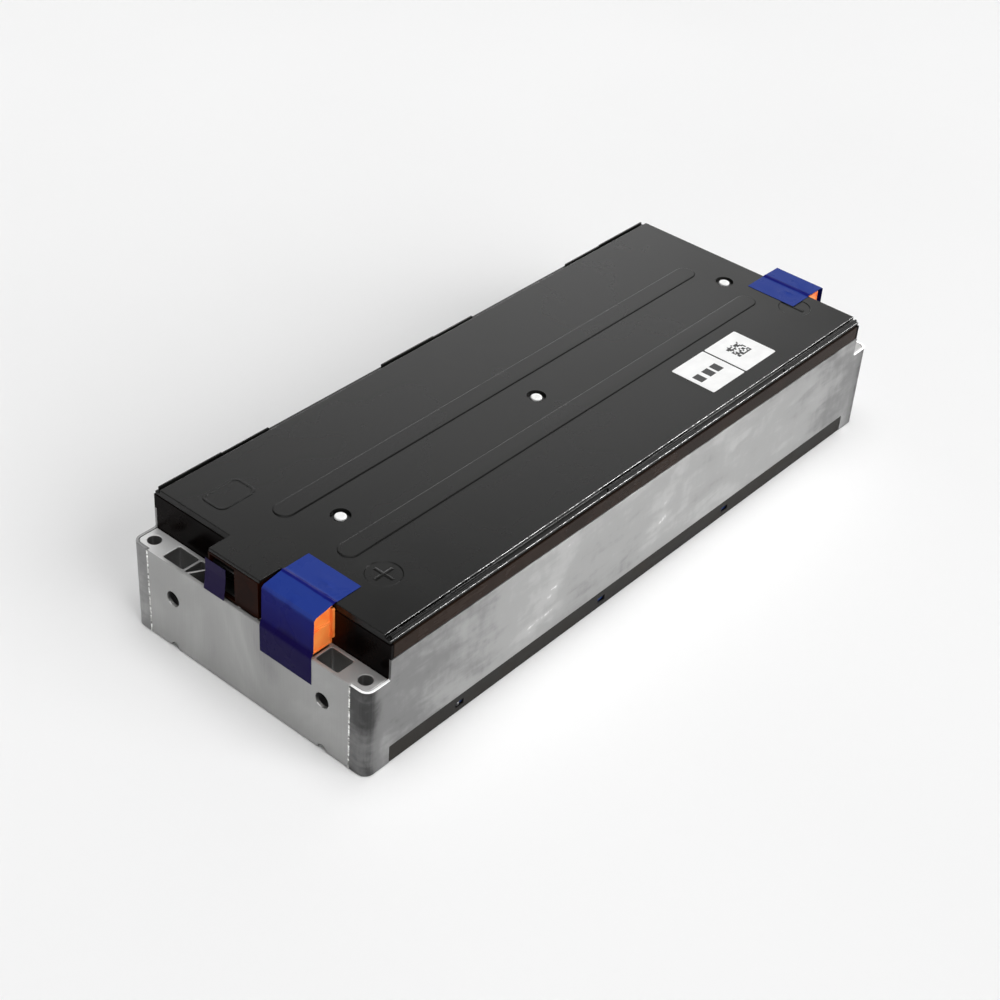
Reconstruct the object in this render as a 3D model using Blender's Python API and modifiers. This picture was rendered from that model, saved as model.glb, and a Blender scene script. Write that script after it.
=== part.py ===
"""EV traction battery module with sixteen prismatic cells.

X runs along the module, and the front, with the signal connector, is at -X.
Y runs across it, and both power terminals are on the -Y side.
Z is up. The origin is on the resting plane, at the middle of the module.
"""

from math import atan2, cos, pi, radians, sin, sqrt, tan

import bmesh
import bpy
from mathutils import Matrix, Vector

MM = 0.001
FRONT = -1
REAR = 1
SIDES = (-1, 1)

# Overall sizes
LENGTH = 590.0 * MM              # over the outer faces of the end plates
WIDTH = 225.0 * MM               # over the side plates
HEIGHT = 108.0 * MM              # resting plane to the cover's top face
FIT = 0.3 * MM                   # gap between pieces that rest on or beside each other
PAST = 1.0 * MM                  # how far a cutter or a joined form runs past the face it meets
ROOT = 0.5 * MM                  # how deep a raised form sits in the one under it
MERGE = 0.001 * MM               # points closer than this are one

# Side plates
SHEET = 2.0 * MM
BEND_RADIUS = 7.0 * MM           # outside radius of the wrapped corners
SEAM_INSET = 15.5 * MM           # side face to the welded edge on the end face
COVER_BAND = 17.9 * MM           # how far the cover's top stands above the side plates
END_STEP = 16.4 * MM             # side plates' top edge down to the end plates' top
STEP_RADIUS = 1.5 * MM
CUTAWAY_HEIGHT = 14.6 * MM       # cut-out along the bottom edge
CUTAWAY_RADIUS = 0.8 * MM

# End plates
PLATE_DEPTH = 21.0 * MM
PLATE_WALL = 3.0 * MM
BOLT_BORE = 10.0 * MM
BOLT_INSET_X = 10.6 * MM
BOLT_INSET_Y = 11.6 * MM
CHAMBER_INSET = 29.0 * MM        # side face to the open rectangular chamber
CHAMBER_WIDTH = 20.0 * MM
CHAMBER_RADIUS = 1.2 * MM
DIVIDER = 2.2 * MM               # wall between that chamber and the truss
TRUSS_GAP = 2.8 * MM             # divider to the first rib's foot
TRUSS_RIBS = 14
RIB = 1.8 * MM
FACE_HOLE = 12.0 * MM
FACE_HOLE_INSET = 40.4 * MM
FACE_HOLE_DROP = 29.8 * MM       # end plate's top to the hole's centre
FOOT_NOTCH = 8.0 * MM

# Bottom insulation tray
TRAY_FLOOR = 1.5 * MM
TRAY_LIP = 1.4 * MM
TRAY_NOTCH_WIDTH = 8.0 * MM
TRAY_NOTCH_HEIGHT = 4.5 * MM
TRAY_NOTCH_FOOT = 4.0 * MM
TRAY_NOTCH_PITCH = 155.0 * MM
TRAY_NOTCH_SHIFT = -48.0 * MM

# Cell stack
CELL_COUNT = 16
CELLS_IN_PARALLEL = 2
CELL_CORNER = 2.5 * MM
CELL_DROP = 1.3 * MM             # side plates' top edge down to the cells' tops
CELL_SIDE_GAP = 0.5 * MM         # insulating film between the cans and the side plates
SPACER = 1.4 * MM
END_PAD = 2.0 * MM
TERMINAL_X = 15.0 * MM
TERMINAL_Y = 24.0 * MM
TERMINAL_HEIGHT = 3.0 * MM
TERMINAL_INSET = 34.5 * MM       # side face to the middle of a cell terminal
VENT_X = 8.0 * MM
VENT_Y = 24.0 * MM
VENT_DEPTH = 0.6 * MM

# End frames
FRAME_WALL = 2.7 * MM
FRAME_OVERHANG = 0.5 * MM        # side plates' outer face to the frames' and carrier's upper walls
BUSBAR_CLEARANCE = 1.0 * MM      # at each side, where the output busbar crosses the frame
SEAT_FRONT_WALL = 1.5 * MM       # terminal cover's wall, also round the seat

# Contact carrier
CARRIER_TOP = 5.9 * MM           # cover's top face down to the carrier's top edge
WINDOW_MARGIN = 4.0 * MM
WINDOW_Y = 34.0 * MM
WINDOW_RADIUS = 3.0 * MM
BOSS_DIAMETER = 12.0 * MM

# Busbars and sensing circuit
BUSBAR = 2.0 * MM
BUSBAR_Y = 26.0 * MM
HUMP_RADIUS = 4.5 * MM
WELD_HOLE = 6.0 * MM
BUSBAR_CORNER = 1.5 * MM
OUTPUT_TAB_Y = 28.0 * MM
OUTPUT_TAB_INSET = 2.0 * MM      # seat's outer edge to the busbar's end
STUD_HOLE = 6.6 * MM
FLEX = 0.4 * MM
FLEX_Y = 14.0 * MM
FLEX_CENTRE = 24.0 * MM
FLEX_TAB = 2.4 * MM
FLEX_TAB_SHIFT = 8.3 * MM        # from the gap between two groups, clear of a rivet boss
FLEX_OVERLAP = 4.0 * MM
FLEX_END = 1.0 * MM              # how far the circuit reaches out of the front end frame
FLEX_SLOT = 3.0 * MM
FLEX_CLEARANCE = 1.0 * MM        # at each side, where it crosses the frame

# Top cover
COVER_SHELL = 1.5 * MM
COVER_SIDE_INSET = 1.6 * MM      # side face to the cover's skirt
LEDGE_WIDTH = 5.0 * MM           # lower ledge along each long edge
LEDGE_DROP = 2.8 * MM
COVER_SKIRT = 5.6 * MM           # cover's top face to the skirt's foot
COVER_CORNER = 2.0 * MM
LIP_WIDTH = 1.6 * MM
LIP_INSET = 0.3 * MM
LIP_HIGH = 2.6 * MM
LIP_LOW = 1.9 * MM
LIP_LENGTH = 103.0 * MM
LIP_HIGH_LENGTH = 58.0 * MM      # part of each lip that stands higher
BEAD_WIDTH = 17.0 * MM
BEAD_CENTRE = 30.6 * MM
BEAD_HEIGHT = 0.6 * MM
BEAD_END_MARGIN = 37.0 * MM      # cover's end to the bead's end
TONGUE_Y = (-12.2 * MM, 36.2 * MM)
TONGUE_REACH = 18.8 * MM
TONGUE_SKIRT = 3.0 * MM
TONGUE_FILLET = 1.0 * MM         # in the corners between tongue and cover

# Cover rivets, set in from the cover's ends or from the middle
RIVET_FRONT_MARGIN = 67.8 * MM
RIVET_MIDDLE = 0.8 * MM
RIVET_REAR_MARGIN = 31.7 * MM
DIMPLE = 15.6 * MM
DIMPLE_DEPTH = 2.2 * MM
RIVET_HEAD = 8.0 * MM
RIVET_HEAD_HEIGHT = 1.5 * MM
RIVET_HEAD_EDGE = 0.6 * MM
RIVET_SHANK = 6.0 * MM
RIVET_LENGTH = 9.0 * MM
RIVET_TIP = 1.5 * MM             # tapered part of the shank
RIVET_TAPER = 1.2 * MM

# Power terminals
TERMINAL_COVER_Y = (-60.4 * MM, -18.0 * MM)
TERMINAL_COVER_REACH = 17.4 * MM     # end frame's face to the cover's outer face
TERMINAL_COVER_DROP = 3.0 * MM       # top cover's face to the terminal cover's top
TERMINAL_COVER_CORNER = 1.5 * MM
TERMINAL_RIB_DROP = 16.0 * MM
TERMINAL_RIB = 1.2 * MM
TERMINAL_RIB_PROUD = 0.7 * MM
FLANGE = 1.2 * MM
FLANGE_Y = 2.6 * MM
FLANGE_FOOT = 5.8 * MM
FLANGE_DROP = 0.5 * MM           # terminal cover's top to the flange's top
NUT_FLATS = 10.0 * MM
NUT_HEIGHT = 8.0 * MM
NUT_BORE = 5.2 * MM

# Signal connector and its bay
BAY_Y = (-10.5 * MM, 37.2 * MM)
BAY_REACH = 18.3 * MM
BAY_WALL = 1.8 * MM
BAY_ROOT_DROP = 1.0 * MM         # frame's top to the top of the bay's root
BAY_SPLIT = 12.3 * MM            # closed block below this Y, open socket bay above it
CONNECTOR_DEPTH = 14.0 * MM
CONNECTOR_HEIGHT = 21.0 * MM
CONNECTOR_WALL = 1.5 * MM
CONNECTOR_CAVITY = 9.0 * MM
PIN = 1.0 * MM
PIN_LENGTH = 4.5 * MM
PIN_COLUMNS = 5
PIN_ROWS = 2

# Tapes and label
TAPE = 0.3 * MM
TAPE_BACK = 23.4 * MM            # cover's end to the tape's end on the cover
TAPE_Y = {FRONT: (-62.6 * MM, -14.6 * MM), REAR: (-62.4 * MM, -18.0 * MM)}
TAPE_STEP = 2.0 * MM             # at each side of the fold over the cover's end
TAPE_NOSE = 0.9 * MM             # terminal cover's face to the tape's fold
TAPE_NOSE_IN = 1.0 * MM          # the fold's two bends, inside and outside of it
TAPE_NOSE_OUT = 0.4 * MM
TAPE_NOSE_DROP = 1.6 * MM
TAPE_LANDING = 1.0 * MM          # end plate's top to where a tape meets its face
TAPE_DROP = 22.0 * MM            # how far the tape hangs down the end plate's face
TAPE_FOLD = 0.8 * MM
CONNECTOR_TAPE_Y = (20.0 * MM, 39.5 * MM)
CONNECTOR_TAPE_TOP = 24.6 * MM   # end plate's top to the tape's upper edge
CONNECTOR_TAPE_DROP = 3.0 * MM
LABEL_MARGIN = 90.0 * MM         # rear end of the cover to the label
LABEL_X = 41.0 * MM
LABEL_Y = 40.0 * MM
LABEL_SHIFT = 1.5 * MM           # towards the middle, from half way between bead and ledge
LABEL_GAP = 0.8 * MM

# Heights and places that follow from the sizes above
HALF_LENGTH = LENGTH / 2
HALF_WIDTH = WIDTH / 2
SIDE_HEIGHT = HEIGHT - COVER_BAND
PLATE_HEIGHT = SIDE_HEIGHT - END_STEP
INNER_HALF_WIDTH = HALF_WIDTH - SHEET - FIT
PLATE_INNER_X = HALF_LENGTH - PLATE_DEPTH
FRAME_OUTER_X = PLATE_INNER_X - FIT
FRAME_INNER_X = FRAME_OUTER_X - FRAME_WALL
WALL_TOP = HEIGHT - CARRIER_TOP
WALL_FOOT = SIDE_HEIGHT + FIT
WALL_OUTER_Y = HALF_WIDTH - FRAME_OVERHANG
CAN_FOOT = TRAY_FLOOR + FIT
CAN_TOP = SIDE_HEIGHT - CELL_DROP
TERMINAL_TOP = CAN_TOP + TERMINAL_HEIGHT
BUSBAR_FOOT = TERMINAL_TOP + FIT
BUSBAR_TOP = BUSBAR_FOOT + BUSBAR
FLEX_FOOT = BUSBAR_FOOT - FIT - FLEX
CARRIER_FOOT = CAN_TOP + FIT
CARRIER_FACE = FLEX_FOOT - FIT
COVER_END_X = FRAME_OUTER_X - FIT
CUTAWAY_X = COVER_END_X - 2 * FIT
COVER_SIDE_Y = HALF_WIDTH - COVER_SIDE_INSET
PLATEAU_Y = COVER_SIDE_Y - LEDGE_WIDTH
LEDGE_Z = HEIGHT - LEDGE_DROP
SKIRT_FOOT = HEIGHT - COVER_SKIRT
TERMINAL_Y_CENTRE = HALF_WIDTH - TERMINAL_INSET
SEAT_TOP = TERMINAL_TOP
SHELF = PLATE_HEIGHT + FIT       # underside of what stands on the end plates' top

GROUP_COUNT = CELL_COUNT // CELLS_IN_PARALLEL
STACK_GAPS = CELL_COUNT + GROUP_COUNT + 2
STACK_LENGTH = 2 * FRAME_INNER_X - STACK_GAPS * FIT
PAD_TOTAL = (GROUP_COUNT - 1) * SPACER + 2 * END_PAD
CELL_THICKNESS = (STACK_LENGTH - PAD_TOTAL) / CELL_COUNT


# Building tools

def clear_scene():
    """Remove what the scene holds."""
    for obj in list(bpy.data.objects):
        bpy.data.objects.remove(obj, do_unlink=True)


def new_collection(name):
    """Add a collection to the scene."""
    collection = bpy.data.collections.new(name)
    bpy.context.scene.collection.children.link(collection)
    return collection


clear_scene()
PARTS = new_collection("ev_battery_module")
CUTTERS = new_collection("cutters")


def new_material(name, colour, roughness, metallic):
    """Make a Principled material."""
    material = bpy.data.materials.new(name)
    material.use_nodes = True
    shader = material.node_tree.nodes["Principled BSDF"]
    shader.inputs["Base Color"].default_value = (*colour, 1.0)
    shader.inputs["Roughness"].default_value = roughness
    shader.inputs["Metallic"].default_value = metallic
    return material


ALUMINIUM = new_material("aluminium", (0.56, 0.56, 0.55), 0.42, 1.0)
SHEET_METAL = new_material("brushed_sheet", (0.60, 0.60, 0.59), 0.38, 1.0)
BUSBAR_METAL = new_material("busbar_aluminium", (0.70, 0.70, 0.69), 0.30, 1.0)
STEEL = new_material("nut_steel", (0.50, 0.48, 0.42), 0.35, 1.0)
COVER_BLACK = new_material("cover_black", (0.035, 0.036, 0.035), 0.38, 0.0)
FRAME_BLACK = new_material("frame_black", (0.018, 0.015, 0.013), 0.22, 0.0)
TRAY_BLACK = new_material("tray_black", (0.030, 0.029, 0.027), 0.50, 0.0)
CAN_FILM = new_material("can_film", (0.020, 0.060, 0.220), 0.35, 0.0)
PAD_GREY = new_material("pad_grey", (0.45, 0.45, 0.43), 0.90, 0.0)
FLEX_AMBER = new_material("flex_amber", (0.42, 0.20, 0.03), 0.40, 0.0)
ORANGE = new_material("terminal_orange", (0.90, 0.23, 0.02), 0.42, 0.0)
TAPE_BLUE = new_material("tape_blue", (0.028, 0.055, 0.260), 0.32, 0.0)
WHITE_PLASTIC = new_material("rivet_white", (0.86, 0.86, 0.84), 0.45, 0.0)
LABEL_WHITE = new_material("label_white", (0.88, 0.88, 0.87), 0.55, 0.0)


def new_object(name, mesh, collection, material=None):
    """Put a mesh in a collection as an object."""
    obj = bpy.data.objects.new(name, mesh)
    collection.objects.link(obj)
    if material is not None and not mesh.materials:
        mesh.materials.append(material)
    if collection is CUTTERS:
        obj.hide_render = True
        obj.display_type = "WIRE"
    return obj


def box(name, x, y, z, collection=CUTTERS, material=None):
    """Make a block between pairs of X, Y and Z values."""
    size = Vector((x[1] - x[0], y[1] - y[0], z[1] - z[0]))
    centre = Vector((x[0] + x[1], y[0] + y[1], z[0] + z[1])) / 2
    mesh = bpy.data.meshes.new(name)
    shape = bmesh.new()
    bmesh.ops.create_cube(shape, size=1.0, matrix=Matrix.Diagonal((*size, 1.0)))
    shape.to_mesh(mesh)
    shape.free()
    obj = new_object(name, mesh, collection, material)
    obj.location = centre
    return obj


def cylinder(name, diameter, start, end, collection=CUTTERS, material=None, sides=24):
    """Make a round bar between two points."""
    start = Vector(start)
    end = Vector(end)
    mesh = bpy.data.meshes.new(name)
    shape = bmesh.new()
    bmesh.ops.create_cone(shape, cap_ends=True, segments=sides, radius1=diameter / 2,
                          radius2=diameter / 2, depth=(end - start).length)
    shape.to_mesh(mesh)
    shape.free()
    obj = new_object(name, mesh, collection, material)
    obj.location = (start + end) / 2
    obj.rotation_euler = (end - start).to_track_quat("Z", "Y").to_euler()
    return obj


def rounded(corners, radius, steps=4):
    """Round the corners of a closed outline; a corner (u, v, r) has its own radius."""
    points = []
    count = len(corners)
    for index, corner in enumerate(corners):
        here = Vector(corner[:2])
        before = Vector(corners[index - 1][:2]) - here
        after = Vector(corners[(index + 1) % count][:2]) - here
        own_radius = corner[2] if len(corner) > 2 else radius
        if own_radius <= 0:
            points.append(tuple(here))
            continue
        half_angle = before.angle(after) / 2
        reach = own_radius / tan(half_angle)
        inward = (before.normalized() + after.normalized()).normalized()
        centre = here + inward * (own_radius / sin(half_angle))
        first = here + before.normalized() * reach - centre
        last = here + after.normalized() * reach - centre
        begin = atan2(first.y, first.x)
        turn = (atan2(last.y, last.x) - begin + pi) % (2 * pi) - pi
        for step in range(steps + 1):
            angle = begin + turn * step / steps
            points.append((centre.x + own_radius * cos(angle), centre.y + own_radius * sin(angle)))
    return points


def rectangle(x, y, radius=0.0, steps=4):
    """Give a rectangle's outline between pairs of values, with rounded corners."""
    corners = [(x[0], y[0]), (x[1], y[0]), (x[1], y[1]), (x[0], y[1])]
    return rounded(corners, radius, steps)


def circle(centre, diameter, sides=24):
    """Give a circle's outline."""
    turns = [2 * pi * step / sides for step in range(sides)]
    return [(centre[0] + cos(turn) * diameter / 2, centre[1] + sin(turn) * diameter / 2) for turn in turns]


AXIS_TURN = {
    "Z": Matrix.Identity(3),
    "Y": Matrix(((1, 0, 0), (0, 0, -1), (0, 1, 0))),
    "X": Matrix(((0, 0, 1), (1, 0, 0), (0, 1, 0))),
}


def prism(name, outlines, low, high, axis="Z", collection=CUTTERS, material=None):
    """Extrude flat outlines, the first the outer one, between two places on an axis.

    Across Z an outline's values are X and Y, across Y they are X and Z, across X they are Y and Z.
    """
    curve = bpy.data.curves.new(name, "CURVE")
    curve.dimensions = "2D"
    curve.fill_mode = "BOTH"
    curve.extrude = (high - low) / 2
    for outline in outlines:
        spline = curve.splines.new("POLY")
        spline.points.add(len(outline) - 1)
        for point, (u, v) in zip(spline.points, outline):
            point.co = (u, v, 0.0, 1.0)
        spline.use_cyclic_u = True
    guide = bpy.data.objects.new(name + "_outline", curve)
    CUTTERS.objects.link(guide)
    shift = Vector((0.0, 0.0, 0.0))
    shift["XYZ".index(axis)] = (low + high) / 2
    guide.matrix_world = Matrix.Translation(shift) @ AXIS_TURN[axis].to_4x4()
    bpy.context.view_layer.update()
    evaluated = guide.evaluated_get(bpy.context.evaluated_depsgraph_get())
    mesh = bpy.data.meshes.new_from_object(evaluated)
    mesh.name = name
    shape = bmesh.new()
    shape.from_mesh(mesh)
    bmesh.ops.remove_doubles(shape, verts=shape.verts, dist=MERGE)
    bmesh.ops.recalc_face_normals(shape, faces=shape.faces)
    shape.to_mesh(mesh)
    shape.free()
    mesh.materials.clear()
    obj = new_object(name, mesh, collection, material)
    obj.matrix_world = guide.matrix_world.copy()
    bpy.data.objects.remove(guide, do_unlink=True)
    return obj


def combine(obj, tool, operation="DIFFERENCE"):
    """Cut a tool from an object, or join the two."""
    modifier = obj.modifiers.new(tool.name, "BOOLEAN")
    modifier.object = tool
    modifier.operation = operation
    modifier.solver = "EXACT"
    return obj


def join(obj, tool):
    """Join a tool to an object."""
    return combine(obj, tool, "UNION")


def bevel(obj, width, segments=2, angle=radians(40)):
    """Round an object's edges."""
    modifier = obj.modifiers.new("edges", "BEVEL")
    modifier.width = width
    modifier.segments = segments
    modifier.limit_method = "ANGLE"
    modifier.angle_limit = angle
    return obj


def finished_mesh(obj):
    """Give the mesh that an object's modifiers make."""
    bpy.context.view_layer.update()
    evaluated = obj.evaluated_get(bpy.context.evaluated_depsgraph_get())
    return bpy.data.meshes.new_from_object(evaluated)


def smooth(obj, angle=radians(35)):
    """Shade an object's round faces smooth."""
    obj.data.shade_smooth()
    obj.data.set_sharp_from_angle(angle=angle)
    return obj


def ordered(first, second):
    """Give two values as a low and a high one."""
    return (min(first, second), max(first, second))


# End plates

def truss_chambers():
    """Give the chambers between the zigzag ribs, as (distance from the middle, Y) points."""
    inner = PLATE_INNER_X + PLATE_WALL
    outer = HALF_LENGTH - PLATE_WALL
    divider_face = HALF_WIDTH - CHAMBER_INSET - CHAMBER_WIDTH - DIVIDER
    half_span = divider_face - TRUSS_GAP
    pitch = 2 * half_span / TRUSS_RIBS
    rib_half = RIB / 2 * sqrt(1 + (pitch / (outer - inner)) ** 2)
    walls = (outer, inner)
    feet = [-half_span + pitch * index for index in range(TRUSS_RIBS + 1)]
    chambers = []
    for index in range(TRUSS_RIBS - 1):
        base = walls[index % 2]
        far = walls[(index + 1) % 2]
        tip = base + (far - base) * (1 - rib_half / pitch)
        chambers.append([(base, feet[index] + rib_half), (base, feet[index + 2] - rib_half),
                         (tip, feet[index + 1])])
    for side in SIDES:
        chambers.append([(outer, side * (half_span + rib_half)), (outer, side * divider_face),
                         (inner, side * divider_face), (inner, side * (half_span - pitch + rib_half))])
    return chambers


def end_plate(name, end):
    """Extruded plate with a truss web, bolt bores and holes in its face."""
    recess_x = HALF_LENGTH - SHEET - FIT
    seam_y = HALF_WIDTH - SEAM_INSET - FIT
    corner = BEND_RADIUS - SHEET - FIT
    half = [(PLATE_INNER_X, INNER_HALF_WIDTH, 0), (recess_x, INNER_HALF_WIDTH, corner),
            (recess_x, seam_y, 0), (HALF_LENGTH, seam_y, 0)]
    corners = half + [(x, -y, r) for x, y, r in reversed(half)]
    outlines = [rounded(corners, 0.0, 5)]
    for side in SIDES:
        outlines.append(circle((HALF_LENGTH - BOLT_INSET_X, side * (HALF_WIDTH - BOLT_INSET_Y)), BOLT_BORE))
        near = side * (HALF_WIDTH - CHAMBER_INSET)
        far = side * (HALF_WIDTH - CHAMBER_INSET - CHAMBER_WIDTH)
        outlines.append(rectangle((PLATE_INNER_X + PLATE_WALL, HALF_LENGTH - PLATE_WALL), ordered(near, far),
                                  CHAMBER_RADIUS, 2))
    outlines += truss_chambers()
    outlines = [[(end * x, y) for x, y in outline] for outline in outlines]
    plate = prism(name, outlines, 0.0, PLATE_HEIGHT, "Z", PARTS, ALUMINIUM)
    for side in SIDES:
        hole_y = side * (HALF_WIDTH - FACE_HOLE_INSET)
        hole_z = PLATE_HEIGHT - FACE_HOLE_DROP
        outside = end * (HALF_LENGTH + PLATE_WALL)
        inside = end * (HALF_LENGTH - 2 * PLATE_WALL)
        combine(plate, cylinder(f"{name}_face_hole{side}", FACE_HOLE,
                                (outside, hole_y, hole_z), (inside, hole_y, hole_z)))
        combine(plate, cylinder(f"{name}_foot_notch{side}", FOOT_NOTCH,
                                (outside, hole_y, 0), (inside, hole_y, 0), sides=16))
    return smooth(plate)


# Side plates

def side_plate(name, side):
    """Sheet plate wrapped round both end plates, with stepped ends and a cut-out foot."""
    seam = HALF_WIDTH - SEAM_INSET
    inner_radius = BEND_RADIUS - SHEET
    corners = [(-HALF_LENGTH, seam, 0), (-HALF_LENGTH, HALF_WIDTH, BEND_RADIUS),
               (HALF_LENGTH, HALF_WIDTH, BEND_RADIUS), (HALF_LENGTH, seam, 0),
               (HALF_LENGTH - SHEET, seam, 0), (HALF_LENGTH - SHEET, HALF_WIDTH - SHEET, inner_radius),
               (SHEET - HALF_LENGTH, HALF_WIDTH - SHEET, inner_radius), (SHEET - HALF_LENGTH, seam, 0)]
    outline = [(x, side * y) for x, y in rounded(corners, 0.0, 5)]
    plate = prism(name, [outline], 0.0, SIDE_HEIGHT, "Z", PARTS, SHEET_METAL)
    across = ordered(side * (HALF_WIDTH + SHEET), side * (seam - SHEET))
    beyond = HALF_LENGTH + SHEET
    for end in (FRONT, REAR):
        step = [(end * COVER_END_X, PLATE_HEIGHT, STEP_RADIUS), (end * beyond, PLATE_HEIGHT, 0),
                (end * beyond, SIDE_HEIGHT + SHEET, 0), (end * COVER_END_X, SIDE_HEIGHT + SHEET, 0)]
        combine(plate, prism(f"{name}_step{end}", [rounded(step, 0.0)], *across, "Y"))
    foot = [(-CUTAWAY_X, -SHEET, 0), (CUTAWAY_X, -SHEET, 0),
            (CUTAWAY_X, CUTAWAY_HEIGHT, CUTAWAY_RADIUS), (-CUTAWAY_X, CUTAWAY_HEIGHT, CUTAWAY_RADIUS)]
    combine(plate, prism(f"{name}_foot", [rounded(foot, 0.0)], *across, "Y"))
    return smooth(plate)


# Bottom insulation tray

def insulation_tray(name):
    """Thin tray under the cells; its lips fill the side plates' cut-outs."""
    end_x = PLATE_INNER_X - 2 * FIT
    lip_x = CUTAWAY_X - 2 * FIT
    lip_outer = HALF_WIDTH - FIT
    lip_top = CUTAWAY_HEIGHT - FIT
    floor_y = (-INNER_HALF_WIDTH, INNER_HALF_WIDTH)
    tray = box(name, (-end_x, end_x), floor_y, (0, TRAY_FLOOR), PARTS, TRAY_BLACK)
    for side in SIDES:
        across = ordered(side * lip_outer, side * (INNER_HALF_WIDTH - FIT))
        join(tray, box(f"{name}_edge{side}", (-lip_x, lip_x), across, (0, TRAY_FLOOR)))
        lip_across = ordered(side * lip_outer, side * (lip_outer - TRAY_LIP))
        join(tray, box(f"{name}_lip{side}", (-lip_x, lip_x), lip_across, (0, lip_top)))
        cut_across = ordered(side * (lip_outer + TRAY_LIP), side * (lip_outer - 2 * TRAY_LIP))
        for index in (-1, 0, 1):
            middle = TRAY_NOTCH_SHIFT + index * TRAY_NOTCH_PITCH
            notch_x = (middle - TRAY_NOTCH_WIDTH / 2, middle + TRAY_NOTCH_WIDTH / 2)
            notch_z = (TRAY_NOTCH_FOOT, TRAY_NOTCH_FOOT + TRAY_NOTCH_HEIGHT)
            combine(tray, box(f"{name}_notch{side}{index}", notch_x, cut_across, notch_z))
    return tray


# Cell stack

def stack_places():
    """Give the X of each cell and pad, laid out from the front end frame."""
    cells = []
    spacers = []
    here = -FRAME_INNER_X + FIT + END_PAD + FIT
    for index in range(CELL_COUNT):
        cells.append(here + CELL_THICKNESS / 2)
        here += CELL_THICKNESS + FIT
        last_of_group = (index + 1) % CELLS_IN_PARALLEL == 0
        if last_of_group and index + 1 < CELL_COUNT:
            spacers.append(here + SPACER / 2)
            here += SPACER + FIT
    return cells, spacers


CELL_X, SPACER_X = stack_places()
CELL_WIDTH = 2 * (INNER_HALF_WIDTH + FIT - CELL_SIDE_GAP)


def cell_mesh():
    """Prismatic can with two terminal blocks and a vent recess, in its own frame."""
    half_x = CELL_THICKNESS / 2
    half_y = CELL_WIDTH / 2
    can = box("cell_can", (-half_x, half_x), (-half_y, half_y), (CAN_FOOT, CAN_TOP), CUTTERS, CAN_FILM)
    bevel(can, CELL_CORNER)
    for side in SIDES:
        middle = side * TERMINAL_Y_CENTRE
        block = box(f"cell_terminal{side}", (-TERMINAL_X / 2, TERMINAL_X / 2),
                    (middle - TERMINAL_Y / 2, middle + TERMINAL_Y / 2), (CAN_TOP - PAST, TERMINAL_TOP))
        join(can, block)
    vent = rectangle((-VENT_X / 2, VENT_X / 2), (-VENT_Y / 2, VENT_Y / 2), VENT_X / 2 - FIT, 4)
    combine(can, prism("cell_vent", [vent], CAN_TOP - VENT_DEPTH, CAN_TOP + VENT_DEPTH))
    mesh = finished_mesh(can)
    mesh.transform(can.matrix_world)
    bpy.data.objects.remove(can, do_unlink=True)
    return mesh


def cell_stack():
    """Sixteen cells, with pads between the parallel pairs and at both ends."""
    mesh = cell_mesh()
    for index, x in enumerate(CELL_X):
        cell = new_object(f"cell_{index + 1:02d}", mesh, PARTS)
        cell.location.x = x
        smooth(cell)
    pad_y = (-CELL_WIDTH / 2, CELL_WIDTH / 2)
    pad_z = (CAN_FOOT, CAN_TOP - CELL_CORNER)
    for index, x in enumerate(SPACER_X):
        box(f"spacer_pad_{index + 1}", (x - SPACER / 2, x + SPACER / 2), pad_y, pad_z, PARTS, PAD_GREY)
    for name, end in (("front_end_pad", FRONT), ("rear_end_pad", REAR)):
        outer = end * (FRAME_INNER_X - FIT)
        box(name, ordered(outer, outer - end * END_PAD), pad_y, pad_z, PARTS, PAD_GREY)


# Contact carrier, busbars and sensing circuit

def group_centre(group):
    """Give the middle X of a parallel group."""
    first = group * CELLS_IN_PARALLEL
    return (CELL_X[first] + CELL_X[first + CELLS_IN_PARALLEL - 1]) / 2


GROUP_LENGTH = CELLS_IN_PARALLEL * (CELL_THICKNESS + FIT)
RIVET_X = (-COVER_END_X + RIVET_FRONT_MARGIN, RIVET_MIDDLE, COVER_END_X - RIVET_REAR_MARGIN)
BOSS_TOP = HEIGHT - DIMPLE_DEPTH - COVER_SHELL - FIT
SHANK_HOLE = RIVET_SHANK + 2 * FIT


def in_each_group(cutter):
    """Repeat a cutter of the first parallel group at every group."""
    row = cutter.modifiers.new("groups", "ARRAY")
    row.count = GROUP_COUNT
    row.use_relative_offset = False
    row.use_constant_offset = True
    row.constant_offset_displace = (GROUP_LENGTH + SPACER + FIT, 0, 0)
    row.merge_threshold = MERGE
    return cutter


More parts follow.
